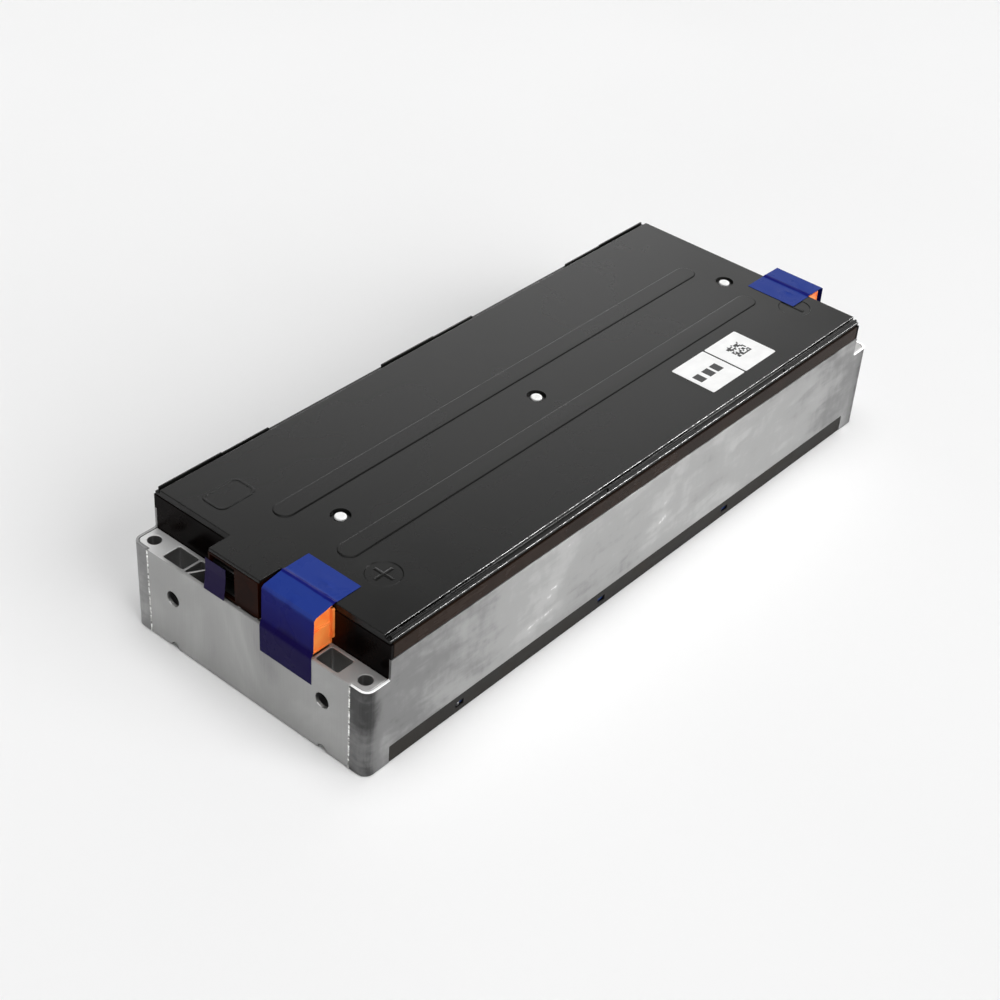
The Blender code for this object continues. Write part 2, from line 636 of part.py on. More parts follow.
def contact_carrier(name):
    """Moulded tray over the cells, with busbar windows, long side walls and rivet bosses."""
    end_x = FRAME_INNER_X - FIT
    carrier = box(name, (-end_x, end_x), (-INNER_HALF_WIDTH, INNER_HALF_WIDTH), (CARRIER_FOOT, CARRIER_FACE),
                  PARTS, FRAME_BLACK)
    through = (CARRIER_FOOT - PAST, CARRIER_FACE + PAST)
    first = group_centre(0)
    reach = GROUP_LENGTH / 2 - WINDOW_MARGIN
    for side in SIDES:
        window_y = (side * TERMINAL_Y_CENTRE - WINDOW_Y / 2, side * TERMINAL_Y_CENTRE + WINDOW_Y / 2)
        window = rectangle((first - reach, first + reach), window_y, WINDOW_RADIUS, 2)
        combine(carrier, in_each_group(prism(f"{name}_window{side}", [window], *through)))
    for index, x in enumerate(CELL_X[:CELLS_IN_PARALLEL]):
        vent = rectangle((x - VENT_X / 2, x + VENT_X / 2), (-VENT_Y / 2, VENT_Y / 2), VENT_X / 3, 2)
        combine(carrier, in_each_group(prism(f"{name}_vent{index}", [vent], *through)))
    for side in SIDES:
        across = ordered(side * WALL_OUTER_Y, side * (INNER_HALF_WIDTH - FIT))
        join(carrier, box(f"{name}_wall{side}", (-end_x, end_x), across, (WALL_FOOT, WALL_TOP)))
    for index, x in enumerate(RIVET_X):
        foot = (CARRIER_FOOT + CARRIER_FACE) / 2
        join(carrier, cylinder(f"{name}_boss{index}", BOSS_DIAMETER, (x, 0, foot), (x, 0, BOSS_TOP)))
        bottom = HEIGHT - DIMPLE_DEPTH - RIVET_LENGTH - PAST
        combine(carrier, cylinder(f"{name}_boss_hole{index}", SHANK_HOLE,
                                  (x, 0, bottom), (x, 0, HEIGHT), sides=16))
    return smooth(carrier)


def link_busbar(name, link, side):
    """Aluminium link over two neighbouring groups, with a hump between them."""
    first = CELL_X[link * CELLS_IN_PARALLEL]
    last = CELL_X[(link + 2) * CELLS_IN_PARALLEL - 1]
    middle = SPACER_X[link]
    start = first - TERMINAL_X / 2
    stop = last + TERMINAL_X / 2
    upper = []
    lower = []
    for step in range(9):
        angle = pi - pi * step / 8
        upper.append((middle + HUMP_RADIUS * cos(angle), BUSBAR_TOP + HUMP_RADIUS * sin(angle)))
        inner = HUMP_RADIUS - BUSBAR
        lower.append((middle + inner * cos(angle), BUSBAR_FOOT + HUMP_RADIUS * sin(angle)))
    outline = [(start, BUSBAR_FOOT), (start, BUSBAR_TOP)] + upper
    outline += [(stop, BUSBAR_TOP), (stop, BUSBAR_FOOT)] + list(reversed(lower))
    low = side * TERMINAL_Y_CENTRE - BUSBAR_Y / 2
    bar = prism(name, [outline], low, low + BUSBAR_Y, "Y", PARTS, BUSBAR_METAL)
    for index in range(2 * CELLS_IN_PARALLEL):
        x = CELL_X[link * CELLS_IN_PARALLEL + index]
        start_point = (x, side * TERMINAL_Y_CENTRE, BUSBAR_FOOT - BUSBAR)
        hole = cylinder(f"{name}_hole{index}", WELD_HOLE, start_point,
                        (x, side * TERMINAL_Y_CENTRE, BUSBAR_TOP + BUSBAR), sides=10)
        combine(bar, hole)
    return smooth(bar)


TERMINAL_COVER_MIDDLE = sum(TERMINAL_COVER_Y) / 2
SEAT_OUTER_X = FRAME_OUTER_X + TERMINAL_COVER_REACH - SEAT_FRONT_WALL - FIT
STUD_X = (SEAT_OUTER_X + FRAME_OUTER_X) / 2


def output_busbar(name, end):
    """Flat busbar from the end group's terminals to the power terminal's seat."""
    cell_pair = (CELL_X[0], CELL_X[CELLS_IN_PARALLEL - 1])
    outer = -min(cell_pair) + TERMINAL_X / 2
    inner = -max(cell_pair) - TERMINAL_X / 2
    far_y = -TERMINAL_Y_CENTRE - BUSBAR_Y / 2
    near_y = -TERMINAL_Y_CENTRE + BUSBAR_Y / 2
    tab_low = TERMINAL_COVER_MIDDLE - OUTPUT_TAB_Y / 2
    tab_high = TERMINAL_COVER_MIDDLE + OUTPUT_TAB_Y / 2
    neck_x = outer - BUSBAR_Y / 2
    tip = SEAT_OUTER_X - OUTPUT_TAB_INSET
    corners = [(inner, far_y), (outer, far_y), (outer, tab_low), (tip, tab_low), (tip, tab_high),
               (neck_x, tab_high), (neck_x, near_y), (inner, near_y)]
    outline = [(end * x, y) for x, y in rounded(corners, BUSBAR_CORNER, 2)]
    stud = circle((end * STUD_X, TERMINAL_COVER_MIDDLE), STUD_HOLE, 16)
    weld_holes = [circle((end * -x, -TERMINAL_Y_CENTRE), WELD_HOLE, 10) for x in cell_pair]
    outlines = [outline, stud] + weld_holes
    return smooth(prism(name, outlines, BUSBAR_FOOT, BUSBAR_TOP, "Z", PARTS, BUSBAR_METAL))


def sensing_flex(name):
    """Flexible circuit along the carrier, with a tab under each busbar."""
    top = FLEX_FOOT + FLEX
    start = -(FRAME_OUTER_X + FLEX_END)
    stop = FRAME_INNER_X - 2 * FIT
    low = FLEX_CENTRE - FLEX_Y / 2
    high = FLEX_CENTRE + FLEX_Y / 2
    flex = box(name, (start, stop), (low, high), (FLEX_FOOT, top), PARTS, FLEX_AMBER)
    tab_end = TERMINAL_Y_CENTRE - BUSBAR_Y / 2 + FLEX_OVERLAP
    tabs = [(x + FLEX_TAB_SHIFT, (high - PAST, tab_end)) for x in SPACER_X[0::2]]
    crossing = [x + FLEX_TAB_SHIFT for x in SPACER_X[1::2]]
    crossing.append(group_centre(0))
    crossing.append(group_centre(GROUP_COUNT - 1) - FLEX_TAB)
    tabs += [(x, (-tab_end, low + PAST)) for x in crossing]
    for index, (x, across) in enumerate(tabs):
        join(flex, box(f"{name}_tab{index}", (x - FLEX_TAB / 2, x + FLEX_TAB / 2), across, (FLEX_FOOT, top)))
    return flex


# End frames

def end_frame(name, end):
    """Insulating wall between the end plate and the stack, with the terminal seat."""
    across = (-INNER_HALF_WIDTH, INNER_HALF_WIDTH)
    wall_x = ordered(end * FRAME_OUTER_X, end * FRAME_INNER_X)
    frame = box(name, wall_x, across, (CAN_FOOT, WALL_TOP), PARTS, FRAME_BLACK)
    for side in SIDES:
        ear = ordered(side * WALL_OUTER_Y, side * (INNER_HALF_WIDTH - PAST))
        join(frame, box(f"{name}_ear{side}", wall_x, ear, (WALL_FOOT, WALL_TOP)))
    margin = SEAT_FRONT_WALL + FIT
    seat_y = (TERMINAL_COVER_Y[0] + margin, TERMINAL_COVER_Y[1] - margin)
    seat_x = ordered(end * SEAT_OUTER_X, end * (FRAME_OUTER_X - FRAME_WALL / 2))
    join(frame, box(f"{name}_seat", seat_x, seat_y, (SHELF, SEAT_TOP)))
    notch_x = ordered(end * (FRAME_OUTER_X + PAST), end * (FRAME_INNER_X - PAST))
    notch_half = OUTPUT_TAB_Y / 2 + BUSBAR_CLEARANCE
    notch_y = (TERMINAL_COVER_MIDDLE - notch_half, TERMINAL_COVER_MIDDLE + notch_half)
    combine(frame, box(f"{name}_busbar_notch", notch_x, notch_y, (SEAT_TOP, WALL_TOP + PAST)))
    pocket = hexagon((end * STUD_X, TERMINAL_COVER_MIDDLE), NUT_FLATS + 2 * FIT)
    combine(frame, prism(f"{name}_nut_pocket", [pocket], SEAT_TOP - NUT_HEIGHT - FIT, SEAT_TOP + PAST))
    return frame


def connector_bay(frame):
    """Add the closed block and the open socket bay to the front end frame."""
    face = FRAME_OUTER_X + BAY_REACH
    back = FRAME_OUTER_X - FRAME_WALL / 2
    top = HEIGHT - TONGUE_SKIRT - FIT
    join(frame, box("bay_root", (-FRAME_OUTER_X - BAY_WALL, -back), BAY_Y, (SHELF, WALL_TOP - BAY_ROOT_DROP)))
    join(frame, box("bay_block", (-face, -FRAME_OUTER_X), BAY_Y, (SHELF, top)))
    hollow_x = (-face + BAY_WALL, -FRAME_OUTER_X)
    hollow_y = (BAY_Y[0] + BAY_WALL, BAY_SPLIT - BAY_WALL)
    combine(frame, box("bay_hollow", hollow_x, hollow_y, (SHELF - BAY_WALL, top - BAY_WALL)))
    socket_y = (BAY_SPLIT, BAY_Y[1] - BAY_WALL)
    combine(frame, box("bay_socket", (-face - BAY_WALL, -FRAME_OUTER_X), socket_y,
                       (SHELF + BAY_WALL, top - BAY_WALL)))
    notch_half = FLEX_Y / 2 + FLEX_CLEARANCE
    notch_y = (FLEX_CENTRE - notch_half, FLEX_CENTRE + notch_half)
    notch_x = (-FRAME_OUTER_X - PAST, -FRAME_INNER_X + PAST)
    combine(frame, box("bay_flex_notch", notch_x, notch_y, (CARRIER_FACE, CARRIER_FACE + FLEX_SLOT)))
    return frame


def hexagon(centre, flats):
    """Give a hexagon's outline by its width across the flats."""
    radius = flats / sqrt(3)
    turns = [radians(60 * step + 30) for step in range(6)]
    return [(centre[0] + radius * cos(turn), centre[1] + radius * sin(turn)) for turn in turns]


def terminal_nut(name, end):
    """Hexagonal nut set in the terminal's seat."""
    centre = (end * STUD_X, TERMINAL_COVER_MIDDLE)
    outlines = [hexagon(centre, NUT_FLATS), circle(centre, NUT_BORE, 16)]
    return smooth(prism(name, outlines, SEAT_TOP - NUT_HEIGHT, SEAT_TOP, "Z", PARTS, STEEL))


def signal_connector(name):
    """Socket body with two rows of pins, open to the front."""
    back = -(FRAME_OUTER_X + FLEX_END + 2 * FIT)
    front = back - CONNECTOR_DEPTH
    low = BAY_SPLIT + FIT
    high = BAY_Y[1] - BAY_WALL - FIT
    foot = SHELF + BAY_WALL + FIT
    body = box(name, (front, back), (low, high), (foot, foot + CONNECTOR_HEIGHT), PARTS, FRAME_BLACK)
    cavity_y = (low + CONNECTOR_WALL, high - CONNECTOR_WALL)
    cavity_z = (foot + CONNECTOR_WALL, foot + CONNECTOR_HEIGHT - CONNECTOR_WALL)
    floor_x = front + CONNECTOR_CAVITY
    combine(body, box("connector_cavity", (front - PAST, floor_x), cavity_y, cavity_z))
    for row in range(PIN_ROWS):
        pin_z = cavity_z[0] + (cavity_z[1] - cavity_z[0]) * (row + 1) / (PIN_ROWS + 1)
        for column in range(PIN_COLUMNS):
            pin_y = cavity_y[0] + (cavity_y[1] - cavity_y[0]) * (column + 0.5) / PIN_COLUMNS
            pin = box(f"connector_pin{row}{column}", (floor_x - PIN_LENGTH, floor_x + PAST),
                      (pin_y - PIN / 2, pin_y + PIN / 2), (pin_z - PIN / 2, pin_z + PIN / 2))
            join(body, pin)
    return body


# Top cover

def cover_outline(x, y, tongue):
    """Give the cover's outline; tongue is the set-back of its front part, or None."""
    if tongue is None:
        return rectangle((-x, x), (-y, y), COVER_CORNER, 3)
    tongue_x = COVER_END_X + TONGUE_REACH - tongue
    low = TONGUE_Y[0] + tongue
    high = TONGUE_Y[1] - tongue
    corners = [(-x, -y), (x, -y), (x, y), (-x, y), (-x, high, TONGUE_FILLET),
               (-tongue_x, high), (-tongue_x, low), (-x, low, TONGUE_FILLET)]
    return rounded(corners, COVER_CORNER, 3)


def top_cover(name):
    """Moulded cover: plateau, lower ledges, skirt, tongue, lips, beads and rivet dimples."""
    inner_x = COVER_END_X - COVER_SHELL
    inner_plateau = PLATEAU_Y - COVER_SHELL
    inner_side = COVER_SIDE_Y - COVER_SHELL
    tongue_foot = HEIGHT - TONGUE_SKIRT
    plateau = cover_outline(COVER_END_X, PLATEAU_Y, 0.0)
    cover = prism(name, [plateau], tongue_foot, HEIGHT, "Z", PARTS, COVER_BLACK)
    ledge = cover_outline(COVER_END_X, COVER_SIDE_Y, None)
    join(cover, prism(f"{name}_ledge", [ledge], SKIRT_FOOT, LEDGE_Z))
    inside_low = rectangle((-inner_x, inner_x), (-inner_side, inner_side))
    combine(cover, prism(f"{name}_low_hollow", [inside_low], SKIRT_FOOT - PAST, LEDGE_Z - COVER_SHELL))
    inside_high = cover_outline(inner_x, inner_plateau, COVER_SHELL)
    combine(cover, prism(f"{name}_high_hollow", [inside_high], SKIRT_FOOT - PAST, HEIGHT - COVER_SHELL))
    for side in SIDES:
        rim = side * (COVER_SIDE_Y - LIP_INSET)
        across = ordered(rim, rim - side * LIP_WIDTH)
        for label, x, top in lip_spans():
            join(cover, box(f"{name}_lip{side}{label}", x, across, (LEDGE_Z - ROOT, LEDGE_Z + top)))
        bead_x = COVER_END_X - BEAD_END_MARGIN
        middle = side * BEAD_CENTRE
        bead = rectangle((-bead_x, bead_x), (middle - BEAD_WIDTH / 2, middle + BEAD_WIDTH / 2),
                         BEAD_WIDTH / 2 - FIT, 8)
        join(cover, prism(f"{name}_bead{side}", [bead], HEIGHT - ROOT, HEIGHT + BEAD_HEIGHT))
    for index, x in enumerate(RIVET_X):
        floor = HEIGHT - DIMPLE_DEPTH
        cup_foot = floor - COVER_SHELL
        join(cover, cylinder(f"{name}_cup{index}", DIMPLE + 2 * COVER_SHELL,
                             (x, 0, cup_foot), (x, 0, HEIGHT - ROOT)))
        combine(cover, cylinder(f"{name}_dimple{index}", DIMPLE, (x, 0, floor), (x, 0, HEIGHT + PAST)))
        combine(cover, cylinder(f"{name}_rivet_hole{index}", SHANK_HOLE, (x, 0, cup_foot - PAST),
                                (x, 0, HEIGHT + PAST), sides=16))
    return smooth(cover)


def lip_spans():
    """Give each raised lip's part: its label, X range and height."""
    spans = []
    reach = COVER_END_X - COVER_CORNER
    for label, start, stop, step in (
            ("front", -reach, LIP_LENGTH - reach, LIP_HIGH_LENGTH - reach),
            ("middle", -LIP_LENGTH / 2, LIP_LENGTH / 2, LIP_HIGH_LENGTH - LIP_LENGTH / 2),
            ("rear", reach - LIP_LENGTH, reach, reach - LIP_HIGH_LENGTH)):
        high_first = label != "rear"
        spans.append((label + "_a", (start, step), LIP_HIGH if high_first else LIP_LOW))
        spans.append((label + "_b", (step - ROOT, stop), LIP_LOW if high_first else LIP_HIGH))
    return spans


def cover_rivet(name, x):
    """Push rivet: a turned head and shank with a split tip's taper."""
    floor = HEIGHT - DIMPLE_DEPTH + FIT
    head = RIVET_HEAD / 2
    shank = RIVET_SHANK / 2
    foot = floor - RIVET_LENGTH
    crown = floor + RIVET_HEAD_HEIGHT
    profile = [(0, crown), (head - RIVET_HEAD_EDGE, crown), (head, crown - RIVET_HEAD_EDGE), (head, floor),
               (shank, floor), (shank, foot + RIVET_TIP), (shank - RIVET_TAPER, foot), (0, foot)]
    mesh = bpy.data.meshes.new(name)
    shape = bmesh.new()
    verts = [shape.verts.new((radius, 0, z)) for radius, z in profile]
    for first, second in zip(verts, verts[1:]):
        shape.edges.new((first, second))
    shape.to_mesh(mesh)
    shape.free()
    rivet = new_object(name, mesh, PARTS, WHITE_PLASTIC)
    rivet.location = (x, 0, 0)
    screw = rivet.modifiers.new("turn", "SCREW")
    screw.steps = 20
    screw.render_steps = 20
    screw.use_merge_vertices = True
    screw.merge_threshold = MERGE
    screw.use_smooth_shade = True
    return rivet


# Power terminals' covers

def terminal_cover(name, end):
    """Orange cover: a shell open below and behind, with a rear flange and a rib round it."""
    outer = FRAME_OUTER_X + TERMINAL_COVER_REACH
    back = FRAME_OUTER_X + FIT
    top = HEIGHT - TERMINAL_COVER_DROP
    low, high = TERMINAL_COVER_Y
    shell = box(name, ordered(end * back, end * outer), (low, high), (SHELF, top), PARTS, ORANGE)
    bevel(shell, TERMINAL_COVER_CORNER)
    flange_x = ordered(end * back, end * (back + FLANGE))
    flange_z = (SHELF + FLANGE_FOOT, top - FLANGE_DROP)
    flange = box(f"{name}_flange", flange_x, (low - FLANGE_Y, high + FLANGE_Y), flange_z)
    join(shell, flange)
    rib_z = HEIGHT - TERMINAL_RIB_DROP
    rib_x = ordered(end * (back + FLANGE / 2), end * (outer + TERMINAL_RIB_PROUD))
    rib_y = (low - TERMINAL_RIB_PROUD, high + TERMINAL_RIB_PROUD)
    join(shell, box(f"{name}_rib", rib_x, rib_y, (rib_z - TERMINAL_RIB / 2, rib_z + TERMINAL_RIB / 2)))
    wall = SEAT_FRONT_WALL
    inside_x = ordered(end * (back - PAST), end * (outer - wall))
    combine(shell, box(f"{name}_hollow", inside_x, (low + wall, high - wall), (SHELF - PAST, top - wall)))
    return shell


# Tapes and labels

def terminal_tape(name, end):
    """Tape from the cover's top over the terminal cover and down the end plate's face."""
    rest = HEIGHT + FIT
    back = COVER_END_X - TAPE_BACK
    nose = FRAME_OUTER_X + TERMINAL_COVER_REACH + TAPE_NOSE
    nose_z = HEIGHT - TERMINAL_COVER_DROP + 2 * FIT
    face = HALF_LENGTH + FIT
    centre_line = [(back, rest), (COVER_END_X - TAPE_STEP, rest), (COVER_END_X, rest + TAPE_FOLD),
                   (COVER_END_X + TAPE_STEP, rest), (nose - TAPE_NOSE_IN, nose_z),
                   (nose + TAPE_NOSE_OUT, nose_z - TAPE_NOSE_DROP),
                   (face, PLATE_HEIGHT + TAPE_LANDING), (face, PLATE_HEIGHT - TAPE_DROP)]
    upper = offset_path(centre_line, TAPE)
    outline = [(end * x, z) for x, z in centre_line + list(reversed(upper))]
    return prism(name, [outline], *TAPE_Y[end], "Y", PARTS, TAPE_BLUE)


def offset_path(path, distance):
    """Give a path moved sideways to its left, with mitred corners."""
    moved = []
    for index, point in enumerate(path):
        here = Vector(point)
        before = (here - Vector(path[index - 1])).normalized() if index else None
        after = (Vector(path[index + 1]) - here).normalized() if index + 1 < len(path) else None
        way = before or after
        other = after or before
        left = Vector((-way.y, way.x))
        mitre = (left + Vector((-other.y, other.x))).normalized()
        moved.append(tuple(here + mitre * (distance / mitre.dot(left))))
    return moved


def connector_tape(name):
    """Small tape over the socket bay, from the bay's face to the end plate's face."""
    bay_face = FRAME_OUTER_X + BAY_REACH + FIT
    plate_face = HALF_LENGTH + FIT
    path = [(bay_face, PLATE_HEIGHT + CONNECTOR_TAPE_TOP),
            (bay_face + FIT, PLATE_HEIGHT + CONNECTOR_TAPE_TOP / 2),
            (plate_face, PLATE_HEIGHT + TAPE_LANDING), (plate_face, PLATE_HEIGHT - CONNECTOR_TAPE_DROP)]
    outline = [(-x, z) for x, z in path + list(reversed(offset_path(path, TAPE)))]
    return prism(name, [outline], *CONNECTOR_TAPE_Y, "Y", PARTS, TAPE_BLUE)


def labels():
    """Two white rectangles side by side on the cover."""
    stop = COVER_END_X - LABEL_MARGIN
    middle = -(BEAD_CENTRE + BEAD_WIDTH / 2 + PLATEAU_Y) / 2 + LABEL_SHIFT
    low = middle - LABEL_Y / 2
    foot = HEIGHT + FIT / 3
    for name in ("code_label", "plain_label"):
        box(name, (stop - LABEL_X, stop), (low, low + LABEL_Y), (foot, foot + TAPE), PARTS, LABEL_WHITE)
        stop -= LABEL_X + LABEL_GAP


# The module

def build_module():
    """Build every piece of the module."""
    end_plate("front_end_plate", FRONT)
    end_plate("rear_end_plate", REAR)
    side_plate("left_side_plate", 1)
    side_plate("right_side_plate", -1)
    insulation_tray("bottom_insulation_tray")
    cell_stack()
    contact_carrier("contact_carrier")
    for link in range(GROUP_COUNT - 1):
        link_busbar(f"link_busbar_{link + 1}", link, 1 if link % 2 == 0 else -1)
    output_busbar("positive_output_busbar", FRONT)
    output_busbar("negative_output_busbar", REAR)
    sensing_flex("sensing_flex_circuit")
    connector_bay(end_frame("front_end_frame", FRONT))
    end_frame("rear_end_frame", REAR)
    terminal_nut("front_terminal_nut", FRONT)
    terminal_nut("rear_terminal_nut", REAR)
    signal_connector("signal_connector")
    top_cover("top_cover")
    for index, x in enumerate(RIVET_X):
        cover_rivet(f"cover_rivet_{index + 1}", x)
    terminal_cover("front_terminal_cover", FRONT)
    terminal_cover("rear_terminal_cover", REAR)
    terminal_tape("front_terminal_tape", FRONT)
    terminal_tape("rear_terminal_tape", REAR)
    connector_tape("connector_tape")
    labels()


build_module()
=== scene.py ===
import random
from math import radians

import bmesh
import bpy
from mathutils import Matrix, Vector


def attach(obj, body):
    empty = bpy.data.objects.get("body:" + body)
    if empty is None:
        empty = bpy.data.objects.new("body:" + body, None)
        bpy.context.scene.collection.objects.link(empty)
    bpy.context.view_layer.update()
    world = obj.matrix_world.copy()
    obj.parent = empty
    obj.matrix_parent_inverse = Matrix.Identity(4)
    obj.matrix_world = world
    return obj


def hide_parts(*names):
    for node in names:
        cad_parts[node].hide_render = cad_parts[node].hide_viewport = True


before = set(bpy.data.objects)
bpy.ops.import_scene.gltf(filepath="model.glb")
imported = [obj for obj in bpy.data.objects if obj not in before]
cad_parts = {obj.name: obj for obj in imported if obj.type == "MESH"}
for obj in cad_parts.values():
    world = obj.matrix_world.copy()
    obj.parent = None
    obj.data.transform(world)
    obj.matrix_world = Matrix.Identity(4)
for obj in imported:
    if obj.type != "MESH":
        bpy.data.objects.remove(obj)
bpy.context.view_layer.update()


# End plates. Each is a length of extruded aluminium with a truss web inside, sawn off and deburred.
# Two bolt bores run down through it, and two round tool holes are drilled in its outer face.
# The metal is bare: cloudy from handling and faintly lined along the extrusion. Its sawn top is rougher, and
# a painted sheen makes the +Y half of the top much lighter.
MM = 0.001
END_PLATE_EDGE = 0.6 * MM
SAWN_TOP = (73.3 * MM, 73.6 * MM)
PAINTED_SHEEN_Y = (10.0 * MM, 90.0 * MM)


def new_finish(name, values):
    """Start a material and set its shader's own values."""
    finish = bpy.data.materials.new(name)
    finish.use_nodes = True
    shader = finish.node_tree.nodes["Principled BSDF"]
    for socket, value in values.items():
        shader.inputs[socket].default_value = value
    return finish


def pattern(finish, kind, scale, stretch=(1, 1, 1), turn=(0, 0, 0), values=None, output="Fac"):
    """Add a texture on Object coordinates, stretched and turned, and return its strength."""
    tree = finish.node_tree
    place = tree.nodes.new("ShaderNodeTexCoord")
    mapping = tree.nodes.new("ShaderNodeMapping")
    mapping.inputs["Scale"].default_value = stretch
    mapping.inputs["Rotation"].default_value = [radians(angle) for angle in turn]
    tree.links.new(place.outputs["Object"], mapping.inputs["Vector"])
    texture = tree.nodes.new(kind)
    tree.links.new(mapping.outputs["Vector"], texture.inputs["Vector"])
    texture.inputs["Scale"].default_value = scale
    for socket, value in (values or {}).items():
        texture.inputs[socket].default_value = value
    return texture.outputs[output]


def noise(finish, scale, stretch=(1, 1, 1), turn=(0, 0, 0), detail=4.0, distortion=0.0):
    """Add a cloudy pattern."""
    values = {"Detail": detail, "Distortion": distortion}
    return pattern(finish, "ShaderNodeTexNoise", scale, stretch, turn, values)


def combined(finish, first, second, how="ADD", share=1.0):
    """Add or multiply two patterns, or keep the greater, the second one weakened to its share."""
    tree = finish.node_tree
    weaker = tree.nodes.new("ShaderNodeMath")
    weaker.operation = "MULTIPLY_ADD"
    weaker.inputs[1].default_value = share
    weaker.inputs[2].default_value = (1.0 - share) if how == "MULTIPLY" else -share / 2
    tree.links.new(second, weaker.inputs[0])
    joined = tree.nodes.new("ShaderNodeMath")
    joined.operation = how
    tree.links.new(first, joined.inputs[0])
    tree.links.new(weaker.outputs[0], joined.inputs[1])
    return joined.outputs[0]


def along(finish, axis):
    """Give the distance along an axis."""
    tree = finish.node_tree
    place = tree.nodes.new("ShaderNodeTexCoord")
    parts = tree.nodes.new("ShaderNodeSeparateXYZ")
    tree.links.new(place.outputs["Object"], parts.inputs["Vector"])
    return parts.outputs[axis]


def position(finish, axis, limits, both_ends=True, ease="SMOOTHSTEP"):
    """Rise from 0 to 1 between two limits on an axis, alike at both ends or not."""
    tree = finish.node_tree
    distance = along(finish, axis)
    if both_ends:
        size = tree.nodes.new("ShaderNodeMath")
        size.operation = "ABSOLUTE"
        tree.links.new(distance, size.inputs[0])
        distance = size.outputs[0]
    rise = tree.nodes.new("ShaderNodeMapRange")
    rise.interpolation_type = ease
    rise.inputs["From Min"].default_value = limits[0]
    rise.inputs["From Max"].default_value = limits[1]
    tree.links.new(distance, rise.inputs["Value"])
    return rise.outputs["Result"]


def tint(finish, source, stops):
    """Colour the surface through a ramp of (strength, colour) stops."""
    tree = finish.node_tree
    ramp = tree.nodes.new("ShaderNodeValToRGB")
    ramp.color_ramp.interpolation = "EASE"
    while len(ramp.color_ramp.elements) < len(stops):
        ramp.color_ramp.elements.new(0.5)
    for element, (strength, colour) in zip(ramp.color_ramp.elements, stops):
        element.position = strength
        element.color = (*colour, 1.0)
    tree.links.new(source, ramp.inputs["Fac"])
    tree.links.new(ramp.outputs["Color"], tree.nodes["Principled BSDF"].inputs["Base Color"])


def spread(finish, source, socket, low, high, start=0.3, stop=0.7):
    """Let a pattern move one of the shader's values between two limits."""
    tree = finish.node_tree
    limits = tree.nodes.new("ShaderNodeMapRange")
    limits.inputs["From Min"].default_value = start
    limits.inputs["From Max"].default_value = stop
    limits.inputs["To Min"].default_value = low
    limits.inputs["To Max"].default_value = high
    tree.links.new(source, limits.inputs["Value"])
    tree.links.new(limits.outputs["Result"], tree.nodes["Principled BSDF"].inputs[socket])


def relief(finish, source, depth, strength=1.0):
    """Raise the surface by a pattern, over any relief that it already has."""
    tree = finish.node_tree
    bump = tree.nodes.new("ShaderNodeBump")
    bump.inputs["Strength"].default_value = strength
    bump.inputs["Distance"].default_value = depth
    normal = tree.nodes["Principled BSDF"].inputs["Normal"]
    if normal.is_linked:
        tree.links.new(normal.links[0].from_socket, bump.inputs["Normal"])
    tree.links.new(source, bump.inputs["Height"])
    tree.links.new(bump.outputs["Normal"], normal)


def broken_edges(node, width):
    """Merge a node's loose triangles and break its sharp edges."""
    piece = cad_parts[node]
    weld = piece.modifiers.new("merge", "WELD")
    weld.merge_threshold = 0.005 * MM
    flat = piece.modifiers.new("flat_faces", "DECIMATE")
    flat.decimate_type = "DISSOLVE"
    flat.angle_limit = radians(0.5)
    edges = piece.modifiers.new("edges", "BEVEL")
    edges.width = width
    edges.segments = 2
    edges.limit_method = "ANGLE"
    edges.angle_limit = radians(40)
    edges.use_clamp_overlap = False


def dress(nodes, finish):
    """Give CAD nodes a finish."""
    for node in nodes:
        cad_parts[node].material_slots[0].material = finish


extruded_aluminium = new_finish("extruded_aluminium", {"Metallic": 1.0, "Specular IOR Level": 0.5})
plate_cloud = noise(extruded_aluminium, 13.0, (1, 1, 0.7), detail=5.0, distortion=0.7)
plate_lines = noise(extruded_aluminium, 55.0, (38, 38, 0.5), detail=3.0)
plate_grain = noise(extruded_aluminium, 1400.0, detail=2.0)
plate_marks = combined(extruded_aluminium, plate_cloud, plate_lines, share=0.16)
# Painted sheen: the +Y half of the top face is painted much lighter, standing in for a reflection.
plate_top = position(extruded_aluminium, "Z", SAWN_TOP)
plate_painted_sheen_side = position(extruded_aluminium, "Y", PAINTED_SHEEN_Y, both_ends=False)
plate_painted_sheen = combined(extruded_aluminium, plate_top, plate_painted_sheen_side, "MULTIPLY")
plate_marks_and_painted_sheen = combined(extruded_aluminium, plate_marks, plate_painted_sheen, "MAXIMUM", share=1.9)
tint(extruded_aluminium, plate_marks_and_painted_sheen, [(0.25, (0.30, 0.30, 0.30)), (0.5, (0.37, 0.37, 0.365)),
                                      (0.75, (0.44, 0.44, 0.435)), (0.93, (0.64, 0.64, 0.635))])
plate_sawn = combined(extruded_aluminium, plate_marks, plate_top, share=-0.5)
spread(extruded_aluminium, plate_sawn, "Roughness", 0.66, 0.46, 0.2, 0.85)
relief(extruded_aluminium, plate_lines, 0.03 * MM, 0.5)
relief(extruded_aluminium, plate_grain, 0.02 * MM, 0.6)
dress(("front_end_plate", "rear_end_plate"), extruded_aluminium)
for plate in ("front_end_plate", "rear_end_plate"):
    broken_edges(plate, END_PLATE_EDGE)


# Side plates. Each is rolled aluminium sheet, bent round the corners of both end plates.
# Its faces carry the marks of the rolls along the module, and milky swirls where it was wiped.
# They are darker toward the ends, a painted shade darkens the bends on the right side, and a painted
# highlight makes the cut rim over the end plates on that side near white.
SIDE_PLATE_EDGE = 0.15 * MM
DARKER_ENDS_X = (130.0 * MM, 272.0 * MM)
PAINTED_BEND_SHADE_X = (277.0 * MM, 292.0 * MM)
RIGHT_SIDE = (60.0 * MM, -60.0 * MM)
RIM_X = (273.6 * MM, 274.2 * MM)
RIM_Z = (73.2 * MM, 73.6 * MM)

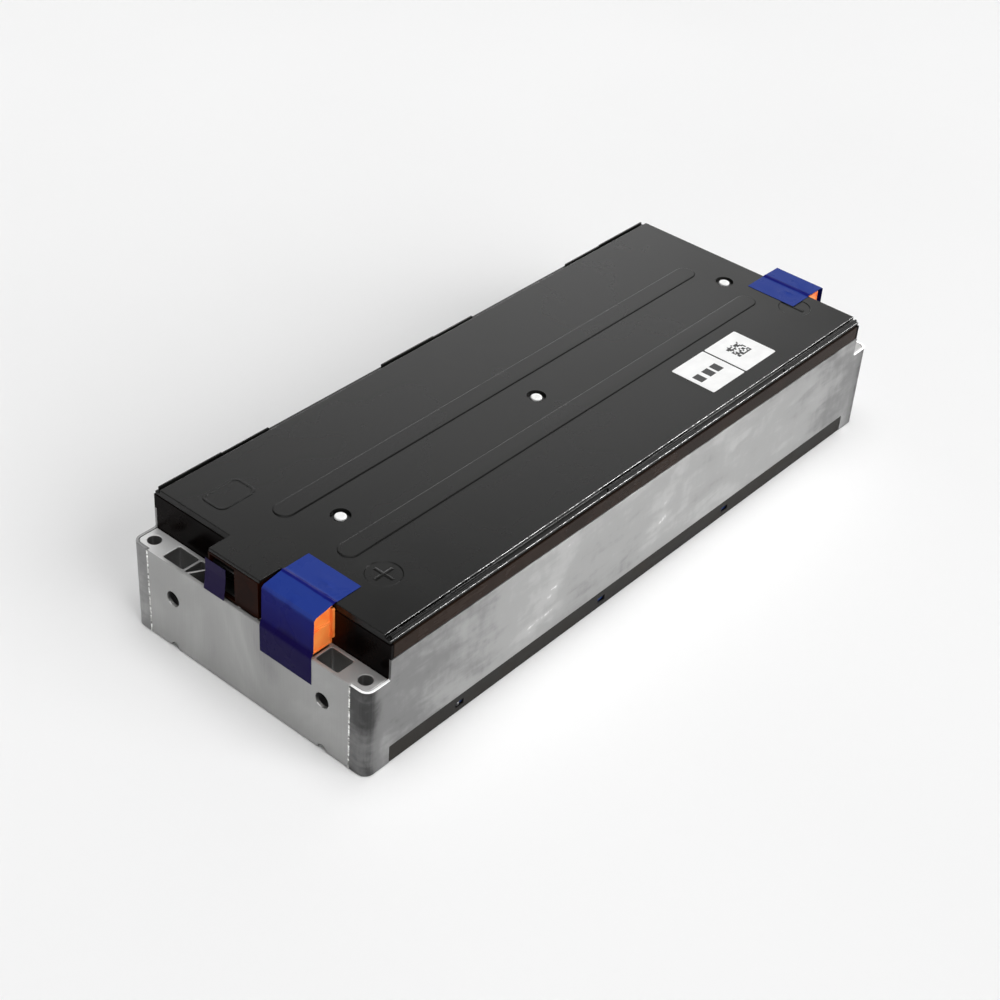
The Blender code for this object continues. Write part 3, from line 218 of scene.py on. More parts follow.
rolled_aluminium = new_finish("rolled_aluminium", {"Metallic": 1.0})
sheet_cloud = noise(rolled_aluminium, 14.0, (1, 1, 1.2), detail=6.0, distortion=0.8)
sheet_wipes = noise(rolled_aluminium, 22.0, (1, 1, 5), (0, 34, 0), detail=9.0, distortion=1.2)
sheet_swirls = noise(rolled_aluminium, 16.0, (1, 1, 3), (0, -48, 0), detail=9.0, distortion=2.0)
sheet_mottle = noise(rolled_aluminium, 170.0, (1, 1, 0.5), detail=4.0)
sheet_lines = noise(rolled_aluminium, 60.0, (0.35, 30, 30), detail=3.0)
sheet_grain = noise(rolled_aluminium, 1600.0, detail=2.0)
sheet_marks = combined(rolled_aluminium, sheet_cloud, sheet_wipes, share=0.4)
sheet_marks = combined(rolled_aluminium, sheet_marks, sheet_swirls, share=0.4)
sheet_marks = combined(rolled_aluminium, sheet_marks, sheet_mottle, share=0.32)
sheet_marks = combined(rolled_aluminium, sheet_marks, sheet_lines, share=0.08)
# Darker toward both ends. At the bends on the right side, a painted shade darkens the sheet further.
sheet_ends = position(rolled_aluminium, "X", DARKER_ENDS_X)
sheet_right = position(rolled_aluminium, "Y", RIGHT_SIDE, both_ends=False)
sheet_painted_bend_shade = combined(rolled_aluminium, position(rolled_aluminium, "X", PAINTED_BEND_SHADE_X), sheet_right, "MULTIPLY")
sheet_tone_and_painted_shade = combined(rolled_aluminium, sheet_marks, sheet_ends, share=-0.30)
sheet_tone_and_painted_shade = combined(rolled_aluminium, sheet_tone_and_painted_shade, sheet_painted_bend_shade, share=-0.44)
# Painted highlight: the cut rim at the top of the right-side bends is painted near white, and the rest of
# the sheet a little darker.
sheet_rim = combined(rolled_aluminium, position(rolled_aluminium, "X", RIM_X),
                     position(rolled_aluminium, "Z", RIM_Z), "MULTIPLY")
sheet_rim = combined(rolled_aluminium, sheet_rim, sheet_right, "MULTIPLY")
sheet_with_painted_rim_highlight = combined(rolled_aluminium, sheet_tone_and_painted_shade, sheet_rim, "MULTIPLY", share=0.25)
sheet_with_painted_rim_highlight = combined(rolled_aluminium, sheet_with_painted_rim_highlight, sheet_rim, "MAXIMUM", share=1.9)
tint(rolled_aluminium, sheet_with_painted_rim_highlight, [(0.0, (0.06, 0.06, 0.06)), (0.31, (0.23, 0.23, 0.23)),
                                      (0.63, (0.39, 0.39, 0.387)), (0.82, (0.47, 0.47, 0.466)),
                                      (0.92, (0.90, 0.90, 0.90))])
sheet_rough = combined(rolled_aluminium, sheet_marks, sheet_rim, "MAXIMUM", share=1.9)
spread(rolled_aluminium, sheet_rough, "Roughness", 0.34, 0.62, 0.3, 0.9)
relief(rolled_aluminium, sheet_lines, 0.02 * MM, 0.5)
relief(rolled_aluminium, sheet_grain, 0.015 * MM, 0.5)
dress(("left_side_plate", "right_side_plate"), rolled_aluminium)
for plate in ("left_side_plate", "right_side_plate"):
    broken_edges(plate, SIDE_PLATE_EDGE)


# Weld seams. A laser joins each side plate's bent edge to the end plate, from foot to top.
# The seam is a narrow rippled bead of bright metal that stands just proud of the face.
SEAM_X = 294.55 * MM
SEAM_Y = 96.85 * MM
SEAM_RADIUS = 0.95 * MM
SEAM_TOP = 73.2 * MM
SEAM_FOOT = 0.5 * MM
SEAM_RIPPLES = 46
SEAM_PINCH = 0.74


def new_block(name, x, y, z):
    """Add a block between pairs of X, Y and Z values, with its place in its mesh."""
    bpy.ops.object.select_all(action="DESELECT")
    middle = ((x[0] + x[1]) / 2, (y[0] + y[1]) / 2, (z[0] + z[1]) / 2)
    size = (x[1] - x[0], y[1] - y[0], z[1] - z[0])
    bpy.ops.mesh.primitive_cube_add(size=1.0, location=middle, scale=size)
    piece = bpy.context.object
    piece.name = name
    bpy.ops.object.transform_apply(location=True, rotation=True, scale=True)
    return piece


def new_round(name, radius, centre, height, sides=48, upper_radius=None):
    """Add an upright round bar or cone by its middle, with its place in its mesh."""
    bpy.ops.object.select_all(action="DESELECT")
    upper = radius if upper_radius is None else upper_radius
    bpy.ops.mesh.primitive_cone_add(vertices=sides, radius1=radius, radius2=upper, depth=height,
                                    location=centre)
    piece = bpy.context.object
    piece.name = name
    bpy.ops.object.transform_apply(location=True, rotation=True, scale=True)
    return piece


def take(piece):
    """Select one piece and nothing else."""
    bpy.ops.object.select_all(action="DESELECT")
    piece.select_set(True)
    bpy.context.view_layer.objects.active = piece


def shape(piece):
    """Open a piece in edit mode."""
    take(piece)
    bpy.ops.object.mode_set(mode="EDIT")
    bpy.ops.mesh.select_all(action="SELECT")


def close():
    """Leave edit mode."""
    bpy.ops.object.mode_set(mode="OBJECT")


def pick(kind, chosen):
    """Select the faces, edges or points that pass a test on their middle and direction."""
    bpy.ops.mesh.select_mode(type=kind)
    bpy.ops.mesh.select_all(action="DESELECT")
    mesh = bmesh.from_edit_mesh(bpy.context.object.data)
    if kind == "FACE":
        found = [face for face in mesh.faces if chosen(face.calc_center_median(), face.normal)]
    elif kind == "EDGE":
        found = []
        for edge in mesh.edges:
            start, stop = (point.co for point in edge.verts)
            if chosen((start + stop) / 2, (stop - start).normalized()):
                found.append(edge)
    else:
        found = [point for point in mesh.verts if chosen(point.co, point.normal)]
    for part in found:
        part.select_set(True)
    bpy.context.object.data.update()
    bmesh.update_edit_mesh(bpy.context.object.data)


def seat(piece, finish, slot, *stands_for):
    """Give a finished piece its material and body, and hide the CAD nodes that it stands for."""
    piece.data.materials.clear()
    piece.data.materials.append(finish)
    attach(piece, "root")
    if stands_for:
        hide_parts(*stands_for)


weld_metal = new_finish("weld_metal", {"Metallic": 1.0})
weld_ripple = noise(weld_metal, 260.0, (1, 1, 1.6), detail=3.0, distortion=0.5)
tint(weld_metal, weld_ripple, [(0.36, (0.22, 0.22, 0.21)), (0.48, (0.62, 0.62, 0.60)),
                               (0.58, (0.97, 0.97, 0.95))])
spread(weld_metal, weld_ripple, "Roughness", 0.45, 0.2)
relief(weld_metal, weld_ripple, 0.2 * MM, 0.8)

weld_seam = new_round("weld_seam_1", SEAM_RADIUS, (-SEAM_X, -SEAM_Y, (SEAM_TOP + SEAM_FOOT) / 2),
                      SEAM_TOP - SEAM_FOOT, sides=10)
shape(weld_seam)
pick("EDGE", lambda middle, way: abs(way.z) > 0.9)
bpy.ops.mesh.subdivide(number_cuts=2 * SEAM_RIPPLES - 1)
ripple_pitch = (SEAM_TOP - SEAM_FOOT) / (2 * SEAM_RIPPLES)
pick("VERT", lambda place, way: round((place.z - SEAM_FOOT) / ripple_pitch) % 2 == 0)
bpy.ops.transform.resize(value=(SEAM_PINCH, SEAM_PINCH, 1.0), center_override=(-SEAM_X, -SEAM_Y, 0.0))
close()
bpy.ops.object.shade_smooth_by_angle(angle=radians(50))
weld_seams = [weld_seam]
for index, (side_x, side_y) in enumerate(((-1, 1), (1, -1), (1, 1))):
    seam = weld_seam.copy()
    seam.data = weld_seam.data.copy()
    seam.name = f"weld_seam_{index + 2}"
    bpy.context.collection.objects.link(seam)
    seam.data.transform(Matrix.Translation((SEAM_X * (side_x + 1), SEAM_Y * (side_y + 1), 0.0)))
    weld_seams.append(seam)
for seam in weld_seams:
    seat(seam, weld_metal, "side_sheet_aluminium")


# Bottom insulation tray. It is moulded in black plastic, with a lip up each side that fills
# the cut-out along the foot of the side plate. It is dusty brown where it has been handled.
TRAY_EDGE = 0.2 * MM

tray_plastic = new_finish("tray_plastic", {"Specular IOR Level": 0.2})
tray_dust = noise(tray_plastic, 16.0, (1, 1, 2), detail=7.0, distortion=0.8)
tray_grain = noise(tray_plastic, 1900.0, detail=2.0)
tint(tray_plastic, tray_dust, [(0.35, (0.006, 0.005, 0.004)), (0.55, (0.012, 0.010, 0.008)),
                               (0.75, (0.028, 0.022, 0.016))])
spread(tray_plastic, tray_dust, "Roughness", 0.42, 0.68)
relief(tray_plastic, tray_grain, 0.03 * MM, 0.5)
dress(("bottom_insulation_tray",), tray_plastic)
broken_edges("bottom_insulation_tray", TRAY_EDGE)


# Cell stack. Each cell is an aluminium can in blue insulating film, with bare terminals and lid rim.
# Soft grey foam pads lie between the pairs and at both ends.
CELL_COUNT = 16
PAIR_GAPS = CELL_COUNT // 2 - 1
CELL_NODES = tuple(f"cell_{index + 1:02d}" for index in range(CELL_COUNT))
PAD_NODES = tuple(f"spacer_pad_{index + 1}" for index in range(PAIR_GAPS))
PAD_NODES += ("front_end_pad", "rear_end_pad")
LID_HEIGHT = 88.6 * MM

cell_film = new_finish("cell_film", {})
film_wrinkle = noise(cell_film, 45.0, (1, 0.3, 2.5), detail=5.0, distortion=1.2)
film_grain = noise(cell_film, 700.0, detail=2.0)
lid_mask = cell_film.node_tree.nodes.new("ShaderNodeMath")
lid_mask.operation = "GREATER_THAN"
lid_mask.inputs[1].default_value = LID_HEIGHT
cell_film.node_tree.links.new(along(cell_film, "Z"), lid_mask.inputs[0])
lid_level = combined(cell_film, lid_mask.outputs[0], film_wrinkle, share=0.3)
tint(cell_film, lid_level, [(0.0, (0.012, 0.040, 0.17)), (0.25, (0.026, 0.080, 0.28)),
                            (0.8, (0.66, 0.66, 0.65))])
film_shader = cell_film.node_tree.nodes["Principled BSDF"]
cell_film.node_tree.links.new(lid_mask.outputs[0], film_shader.inputs["Metallic"])
spread(cell_film, film_wrinkle, "Roughness", 0.24, 0.42)
relief(cell_film, film_wrinkle, 0.10 * MM, 0.5)
relief(cell_film, film_grain, 0.02 * MM, 0.4)
dress(CELL_NODES, cell_film)

pad_foam = new_finish("pad_foam", {"Specular IOR Level": 0.2})
foam_cells = pattern(pad_foam, "ShaderNodeTexVoronoi", 900.0, output="Distance")
foam_cloud = noise(pad_foam, 30.0, detail=5.0)
tint(pad_foam, foam_cloud, [(0.3, (0.36, 0.36, 0.35)), (0.7, (0.50, 0.50, 0.48))])
spread(pad_foam, foam_cells, "Roughness", 0.8, 0.97, 0.0, 0.6)
relief(pad_foam, foam_cells, 0.25 * MM, 0.8)
dress(PAD_NODES, pad_foam)


# End frames and contact carrier. They are moulded in a hard black plastic with a glossy, faintly brown skin.
# A painted red-brown reflection of the orange cap lies on each frame round its terminal. The frames stand
# behind the end plates and hold the terminal seats.
# The carrier lies on the cells and holds the busbars.
FRAME_EDGE = 0.3 * MM
CARRIER_EDGE = 0.2 * MM
OUTER_FACE = (274.0 * MM, 277.0 * MM)
TERMINAL_FACE = (273.0 * MM, 273.4 * MM)
TERMINAL_RIGHT = (-112.0 * MM, -60.0 * MM)
TERMINAL_LEFT = (0.0, -20.0 * MM)
CARRIER_BROWNS = ((0.012, 0.0070, 0.0045), (0.020, 0.0110, 0.0070), (0.040, 0.025, 0.017))


def recoloured(finish, name, colours):
    """Copy a finish under a new name, with other colours in its ramp."""
    other = finish.copy()
    other.name = name
    ramp = [node for node in other.node_tree.nodes if node.bl_idname == "ShaderNodeValToRGB"][0].color_ramp
    for element, colour in zip(ramp.elements, colours):
        element.color = (*colour, 1.0)
    return other


frame_plastic = new_finish("frame_plastic", {"Specular IOR Level": 0.025})
frame_cloud = noise(frame_plastic, 22.0, (1, 1, 0.6), detail=5.0, distortion=0.6)
frame_flow = noise(frame_plastic, 75.0, (0.25, 6, 6), detail=3.0, distortion=0.3)
frame_grain = noise(frame_plastic, 1500.0, detail=2.0)
frame_marks = combined(frame_plastic, frame_cloud, frame_flow, share=0.25)
frame_brown_with_painted_reflection = combined(frame_plastic, frame_marks, position(frame_plastic, "X", OUTER_FACE), share=0.6)
# Painted reflection: the frame face round each terminal cap is painted red-brown, standing in for the orange
# cap's reflection.
frame_painted_cap_reflection = combined(frame_plastic, position(frame_plastic, "Y", TERMINAL_RIGHT, both_ends=False),
                      position(frame_plastic, "Y", TERMINAL_LEFT, both_ends=False), "MULTIPLY")
frame_painted_cap_reflection = combined(frame_plastic, frame_painted_cap_reflection, position(frame_plastic, "X", TERMINAL_FACE), "MULTIPLY")
frame_brown_with_painted_reflection = combined(frame_plastic, frame_brown_with_painted_reflection, frame_painted_cap_reflection, "MAXIMUM", share=1.5)
tint(frame_plastic, frame_brown_with_painted_reflection, [(0.0, (0.0012, 0.0010, 0.0010)), (0.4, (0.0040, 0.0022, 0.0018)),
                                  (0.9, (0.021, 0.0040, 0.0006))])
spread(frame_plastic, frame_marks, "Roughness", 0.16, 0.32)
relief(frame_plastic, frame_flow, 0.02 * MM, 0.5)
relief(frame_plastic, frame_grain, 0.012 * MM, 0.4)
dress(("front_end_frame", "rear_end_frame"), frame_plastic)
for node in ("front_end_frame", "rear_end_frame"):
    broken_edges(node, FRAME_EDGE)

carrier_plastic = recoloured(frame_plastic, "carrier_plastic", CARRIER_BROWNS)
carrier_plastic.node_tree.nodes["Principled BSDF"].inputs["Specular IOR Level"].default_value = 0.05
dress(("contact_carrier",), carrier_plastic)
broken_edges("contact_carrier", CARRIER_EDGE)


# Busbars, sensing circuit, nuts and signal connector. The busbars are stamped from bright aluminium sheet.
# The circuit is an amber film with copper tracks that runs to the connector, which is black plastic.
# The nuts are plated steel.
BUSBAR_NODES = tuple(f"link_busbar_{index + 1}" for index in range(PAIR_GAPS))
BUSBAR_NODES += ("positive_output_busbar", "negative_output_busbar")
CONNECTOR_EDGE = 0.15 * MM

busbar_metal = new_finish("busbar_metal", {"Metallic": 1.0})
busbar_lines = noise(busbar_metal, 90.0, (12, 0.4, 12), detail=3.0)
busbar_cloud = noise(busbar_metal, 40.0, detail=5.0, distortion=0.5)
busbar_marks = combined(busbar_metal, busbar_cloud, busbar_lines, share=0.35)
tint(busbar_metal, busbar_marks, [(0.3, (0.58, 0.58, 0.57)), (0.7, (0.80, 0.80, 0.78))])
spread(busbar_metal, busbar_marks, "Roughness", 0.22, 0.38)
relief(busbar_metal, busbar_lines, 0.015 * MM, 0.5)
dress(BUSBAR_NODES, busbar_metal)

flex_film = new_finish("flex_film", {"Coat Weight": 0.3, "Coat Roughness": 0.15})
flex_tracks = pattern(flex_film, "ShaderNodeTexWave", 260.0, (0, 1, 0), values={"Distortion": 0.0})
flex_cloud = noise(flex_film, 60.0, detail=4.0)
tint(flex_film, combined(flex_film, flex_tracks, flex_cloud, share=0.3),
     [(0.35, (0.40, 0.17, 0.025)), (0.6, (0.62, 0.26, 0.05))])
spread(flex_film, flex_cloud, "Roughness", 0.25, 0.4)
relief(flex_film, flex_tracks, 0.03 * MM, 0.5)
dress(("sensing_flex_circuit",), flex_film)

nut_steel = new_finish("nut_steel", {"Metallic": 1.0})
nut_grain = noise(nut_steel, 350.0, (1, 1, 0.3), detail=4.0)
tint(nut_steel, nut_grain, [(0.3, (0.38, 0.36, 0.31)), (0.7, (0.62, 0.60, 0.53))])
spread(nut_steel, nut_grain, "Roughness", 0.25, 0.45)
relief(nut_steel, nut_grain, 0.03 * MM, 0.5)
dress(("front_terminal_nut", "rear_terminal_nut"), nut_steel)

connector_plastic = new_finish("connector_plastic", {"Specular IOR Level": 0.45})
connector_grain = noise(connector_plastic, 1200.0, detail=2.0)
connector_cloud = noise(connector_plastic, 80.0, detail=4.0)
tint(connector_plastic, connector_cloud, [(0.3, (0.012, 0.012, 0.012)), (0.7, (0.026, 0.026, 0.025))])
spread(connector_plastic, connector_cloud, "Roughness", 0.3, 0.45)
relief(connector_plastic, connector_grain, 0.02 * MM, 0.5)
dress(("signal_connector",), connector_plastic)
broken_edges("signal_connector", CONNECTOR_EDGE)


# Top cover. It is one thin moulding in satin black plastic with a skirt all round, a lower ledge and short
# standing lips along both long edges, and a tongue over the signal connector. Two long beads stiffen it,
# three dimples take its rivets, and the polarity marks are moulded into its face.
CLOSE_BY = 0.1 * MM
COVER_X = 273.4 * MM
COVER_Y = 110.9 * MM
COVER_FOOT = 102.4 * MM
COVER_TOP = 108.0 * MM
LEDGE_TOP = 105.2 * MM
PLATEAU_Y = 105.9 * MM
COVER_WALL = 1.5 * MM
COVER_EDGE = 0.6 * MM
COVER_ROOT = 0.6 * MM
POLISH_REACH = 0.05 * MM
TONGUE_X = 292.2 * MM
TONGUE_Y = (-12.2 * MM, 36.2 * MM)
LIP_Y = (108.6 * MM, 110.2 * MM)
LIP_ENDS = ((-271.2 * MM, -213.4 * MM, -168.4 * MM), (-51.5 * MM, 6.5 * MM, 51.5 * MM),
            (168.4 * MM, 213.4 * MM, 271.2 * MM))
LIP_RISE = 1.9 * MM
LIP_STEP = 0.7 * MM
LIP_LONG = 45.0 * MM
LIP_EDGE = 0.3 * MM
BEAD_X = 236.4 * MM
BEAD_Y = 30.6 * MM
BEAD_HALF = 8.5 * MM
BEAD_ROUND = 8.45 * MM
BEAD_STEP = 0.22 * MM
BEAD_SLOPE = 1.0 * MM
BEAD_RISE = 0.46 * MM
RIVET_X = (-205.6 * MM, 0.8 * MM, 241.7 * MM)
DIMPLE_FLOOR = 6.7 * MM
DIMPLE_MOUTH = 7.4 * MM
DIMPLE_DEPTH = 2.2 * MM
DIMPLE_LIP = 0.2 * MM
DIMPLE_FLARE = 1.06
MARK_FLOOR = 12.5 * MM
MARK_MOUTH = 13.2 * MM
MARK_DEPTH = 0.45 * MM
RIDGE_HALF = 1.5 * MM
RIDGE_REACH = 8.6 * MM
RIDGE_ROOT = 1.2 * MM
RIDGE_SLOPE = 0.9 * MM
RIDGE_RISE = 0.4 * MM
FRONT_MARK = (-230.0 * MM, -63.7 * MM)
REAR_MARK = (250.0 * MM, -64.0 * MM)
PAD_X = (-260.0 * MM, -226.0 * MM)
PAD_Y = (58.6 * MM, 81.4 * MM)
PAD_RISE = 0.4 * MM
PAD_CORNER = 6.0 * MM
PAD_RIM = 2.2 * MM
PAD_SINK = 0.3 * MM
PAD_EDGE = 0.2 * MM


def cut(axis, place):
    """Cut the open piece right across at a place on an axis."""
    way = [0.0, 0.0, 0.0]
    way["XYZ".index(axis)] = 1.0
    spot = [place * part for part in way]
    bpy.ops.mesh.select_all(action="SELECT")
    bpy.ops.mesh.bisect(plane_co=spot, plane_no=way)


def pull(x=0.0, y=0.0, z=0.0):
    """Extrude the selected faces or edges."""
    bpy.ops.mesh.extrude_region_move(TRANSFORM_OT_translate={"value": (x, y, z)})


def fuse(piece, tool, how="UNION"):
    """Join a tool to a piece or cut it out, and throw the tool away."""
    take(piece)
    joint = piece.modifiers.new("fuse", "BOOLEAN")
    joint.object = tool
    joint.operation = how
    joint.solver = "EXACT"
    bpy.ops.object.modifier_apply(modifier=joint.name)
    bpy.data.objects.remove(tool, do_unlink=True)


def soften(piece, width, steps):
    """Round a new piece's sharp edges."""
    take(piece)
    edges = piece.modifiers.new("edges", "BEVEL")
    edges.width = width
    edges.segments = steps
    edges.limit_method = "ANGLE"
    edges.angle_limit = radians(40)
    bpy.ops.object.modifier_apply(modifier=edges.name)


def even_shading(piece, angle=32):
    """Shade round faces smooth and keep the flat ones flat."""
    take(piece)
    bpy.ops.object.shade_smooth_by_angle(angle=radians(angle))
    weight = piece.modifiers.new("flat_faces", "WEIGHTED_NORMAL")
    weight.keep_sharp = True
    bpy.ops.object.modifier_apply(modifier=weight.name)


cover = new_block("moulded_top_cover", (-COVER_X, COVER_X), (-COVER_Y, COVER_Y), (COVER_FOOT, LEDGE_TOP))
shape(cover)
for y in (-PLATEAU_Y, *TONGUE_Y, PLATEAU_Y):
    cut("Y", y)
pick("FACE", lambda middle, way: way.z > 0.9 and abs(middle.y) < PLATEAU_Y)
pull(z=COVER_TOP - LEDGE_TOP)
pick("FACE", lambda middle, way: way.x < -0.9 and middle.z > LEDGE_TOP
     and TONGUE_Y[0] < middle.y < TONGUE_Y[1])
pull(x=COVER_X - TONGUE_X)
pick("FACE", lambda middle, way: way.z < -0.9 and middle.z < COVER_FOOT + CLOSE_BY)
bpy.ops.mesh.inset(thickness=COVER_WALL, depth=0.0)
pull(z=LEDGE_TOP - COVER_FOOT - COVER_WALL)
bpy.ops.mesh.select_all(action="SELECT")
bpy.ops.mesh.remove_doubles(threshold=0.01 * MM)
bpy.ops.mesh.dissolve_limited(angle_limit=radians(0.5))
close()
soften(cover, COVER_EDGE, 3)

for side in (-1, 1):
    for start, step, stop in LIP_ENDS:
        lip = new_block("lip", (start, stop), sorted(side * y for y in LIP_Y),
                        (LEDGE_TOP - MM, LEDGE_TOP + LIP_RISE))
        high = (start, step) if step - start > LIP_LONG else (step, stop)
        shape(lip)
        cut("X", step)
        pick("FACE", lambda middle, way: way.z > 0.9 and high[0] < middle.x < high[1])
        pull(z=LIP_STEP)
        close()
        soften(lip, LIP_EDGE, 2)
        fuse(cover, lip)

for side in (-1, 1):
    bead = new_block("bead", (-BEAD_X, BEAD_X), (side * BEAD_Y - BEAD_HALF, side * BEAD_Y + BEAD_HALF),
                     (COVER_TOP - COVER_ROOT, COVER_TOP + BEAD_STEP))
    shape(bead)
    pick("EDGE", lambda middle, way: abs(way.z) > 0.9)
    bpy.ops.mesh.bevel(offset=BEAD_ROUND, segments=12)
    pick("FACE", lambda middle, way: way.z > 0.9)
    bpy.ops.mesh.inset(thickness=BEAD_SLOPE, depth=0.0)
    bpy.ops.transform.translate(value=(0.0, 0.0, BEAD_RISE))
    close()
    fuse(cover, bead)

for x in RIVET_X:
    dimple = new_round("dimple", DIMPLE_FLOOR, (x, 0.0, COVER_TOP - DIMPLE_DEPTH / 2), DIMPLE_DEPTH,
                       upper_radius=DIMPLE_MOUTH)
    shape(dimple)
    pick("FACE", lambda middle, way: way.z > 0.9)
    pull(z=DIMPLE_LIP)
    bpy.ops.transform.resize(value=(DIMPLE_FLARE, DIMPLE_FLARE, 1.0), center_override=(x, 0.0, COVER_TOP))
    pull(z=MM)
    close()
    fuse(cover, dimple, "DIFFERENCE")

for x, y in (FRONT_MARK, REAR_MARK):
    disc = new_round("mark", MARK_FLOOR, (x, y, COVER_TOP - MARK_DEPTH / 2), MARK_DEPTH, sides=64,
                     upper_radius=MARK_MOUTH)
    shape(disc)
    pick("FACE", lambda middle, way: way.z > 0.9)
    pull(z=MM)
    close()
    fuse(cover, disc, "DIFFERENCE")

for (x, y), reach in ((FRONT_MARK, (RIDGE_REACH, RIDGE_HALF)), (FRONT_MARK, (RIDGE_HALF, RIDGE_REACH)),
                      (REAR_MARK, (RIDGE_HALF, RIDGE_REACH))):
    ridge = new_block("ridge", (x - reach[0], x + reach[0]), (y - reach[1], y + reach[1]),
                      (COVER_TOP - RIDGE_ROOT, COVER_TOP - RIDGE_RISE))
    shape(ridge)
    pick("FACE", lambda middle, way: way.z > 0.9)
    bpy.ops.mesh.inset(thickness=RIDGE_SLOPE, depth=0.0)
    bpy.ops.transform.translate(value=(0.0, 0.0, RIDGE_RISE))
    close()
    fuse(cover, ridge)

pad = new_block("pad", PAD_X, PAD_Y, (COVER_TOP - COVER_ROOT, COVER_TOP + PAD_RISE))
shape(pad)
pick("EDGE", lambda middle, way: abs(way.z) > 0.9)
bpy.ops.mesh.bevel(offset=PAD_CORNER, segments=6)
pick("FACE", lambda middle, way: way.z > 0.9)
bpy.ops.mesh.inset(thickness=PAD_RIM, depth=0.0)
pull(z=-PAD_SINK)
pick("EDGE", lambda middle, way: abs(way.z) < 0.1 and middle.z > COVER_TOP)
bpy.ops.mesh.bevel(offset=PAD_EDGE, segments=3)
close()
fuse(cover, pad)
even_shading(cover)

cover_plastic = new_finish("cover_plastic", {"Specular IOR Level": 0.15})
cover_smudge = noise(cover_plastic, 14.0, (1, 1, 1), detail=6.0, distortion=0.3)
cover_patch = noise(cover_plastic, 5.0, detail=2.0)
cover_grain = noise(cover_plastic, 2200.0, detail=2.0)
cover_marks = combined(cover_plastic, cover_patch, cover_smudge, share=0.5)
tint(cover_plastic, cover_marks, [(0.3, (0.0030, 0.0030, 0.0026)), (0.7, (0.0080, 0.0080, 0.0072))])
spread(cover_plastic, cover_marks, "Roughness", 0.24, 0.36)
relief(cover_plastic, cover_grain, 0.02 * MM, 0.35)
seat(cover, cover_plastic, "cover_plastic", "top_cover")

edge_polish = new_finish("edge_polish", {"Specular IOR Level": 0.9})
polish_grain = noise(edge_polish, 900.0, detail=3.0)
tint(edge_polish, polish_grain, [(0.3, (0.004, 0.004, 0.004)), (0.7, (0.010, 0.010, 0.009))])
polish_dashes = noise(edge_polish, 280.0, detail=1.0)
spread(edge_polish, polish_dashes, "Roughness", 0.12, 0.62, 0.46, 0.60)
relief(edge_polish, polish_grain, 0.01 * MM, 0.3)
cover.data.materials.append(edge_polish)
for face in cover.data.polygons:
    outward = abs(face.center.y)
    on_edge = outward < PLATEAU_Y + POLISH_REACH or face.center.z < LEDGE_TOP
    if on_edge and outward > PLATEAU_Y - MM and face.normal.z > 0.2 and abs(face.normal.y) > 0.2:
        face.material_index = 1


# Cover rivets. They are white push rivets: a domed head with a pin pressed flush in its middle.
# The shank goes through the cover into the carrier's boss.
RIVET_HEAD = 4.4 * MM
RIVET_SEAT = 105.9 * MM
RIVET_RISE = 1.7 * MM
RIVET_DOME = 1.0 * MM
PIN_RIM = 1.5 * MM
PIN_SINK = 0.25 * MM
PIN_GAP = 0.25 * MM
PIN_RISE = 0.2 * MM
SHANK_STEP = 1.5 * MM
SHANK_LENGTH = 7.0 * MM
RIVET_NODES = ("cover_rivet_1", "cover_rivet_2", "cover_rivet_3")

rivet_plastic = new_finish("rivet_plastic", {"Specular IOR Level": 0.5})
rivet_cloud = noise(rivet_plastic, 240.0, detail=4.0)
tint(rivet_plastic, rivet_cloud, [(0.3, (0.80, 0.80, 0.79)), (0.7, (0.92, 0.92, 0.91))])
spread(rivet_plastic, rivet_cloud, "Roughness", 0.35, 0.5)
relief(rivet_plastic, rivet_cloud, 0.03 * MM, 0.3)

for node, x in zip(RIVET_NODES, RIVET_X):
    rivet = new_round(node.replace("cover", "push"), RIVET_HEAD, (x, 0.0, RIVET_SEAT + RIVET_RISE / 2),
                      RIVET_RISE)
    shape(rivet)
    pick("EDGE", lambda middle, way: abs(way.z) < 0.1 and middle.z > RIVET_SEAT + MM)
    bpy.ops.mesh.bevel(offset=RIVET_DOME, segments=5)
    pick("FACE", lambda middle, way: way.z > 0.99)
    bpy.ops.mesh.inset(thickness=PIN_RIM, depth=0.0)
    pull(z=-PIN_SINK)
    bpy.ops.mesh.inset(thickness=PIN_GAP, depth=0.0)
    pull(z=PIN_RISE)
    pick("FACE", lambda middle, way: way.z < -0.9)
    bpy.ops.mesh.inset(thickness=SHANK_STEP, depth=0.0)
    pull(z=-SHANK_LENGTH)
    close()
    even_shading(rivet)
    seat(rivet, rivet_plastic, "rivet_plastic", node)


# Terminal covers. Each is an orange moulded cap over a power terminal, open below, with a rib round its
# sides, a panel sunk above and below the rib, and a flange that stands against the end frame.
CAP_X = (274.0 * MM, 291.1 * MM)
CAP_Y = (-60.4 * MM, -18.0 * MM)
CAP_Z = (74.0 * MM, 105.0 * MM)
CAP_WALL = 1.5 * MM
CAP_RIB_Z = (91.4 * MM, 92.6 * MM)
CAP_RIB = 0.7 * MM
CAP_PANEL = 0.45 * MM
CAP_PANEL_RIM = 1.3 * MM
CAP_EDGE = 0.3 * MM
FLANGE_X = 275.9 * MM
FLANGE_Y = (-63.0 * MM, -15.4 * MM)
FLANGE_Z = (79.8 * MM, 104.5 * MM)
FLANGE_CORNER = 1.2 * MM

orange_plastic = new_finish("orange_plastic", {"Specular IOR Level": 0.45})
orange_cloud = noise(orange_plastic, 60.0, (1, 1, 1), detail=5.0, distortion=1.0)
orange_grain = noise(orange_plastic, 1300.0, detail=2.0)
tint(orange_plastic, orange_cloud, [(0.28, (1.0, 0.17, 0.026)), (0.5, (1.0, 0.28, 0.055)),
                                    (0.75, (1.0, 0.38, 0.09))])
spread(orange_plastic, orange_cloud, "Roughness", 0.32, 0.5)
relief(orange_plastic, orange_grain, 0.02 * MM, 0.5)

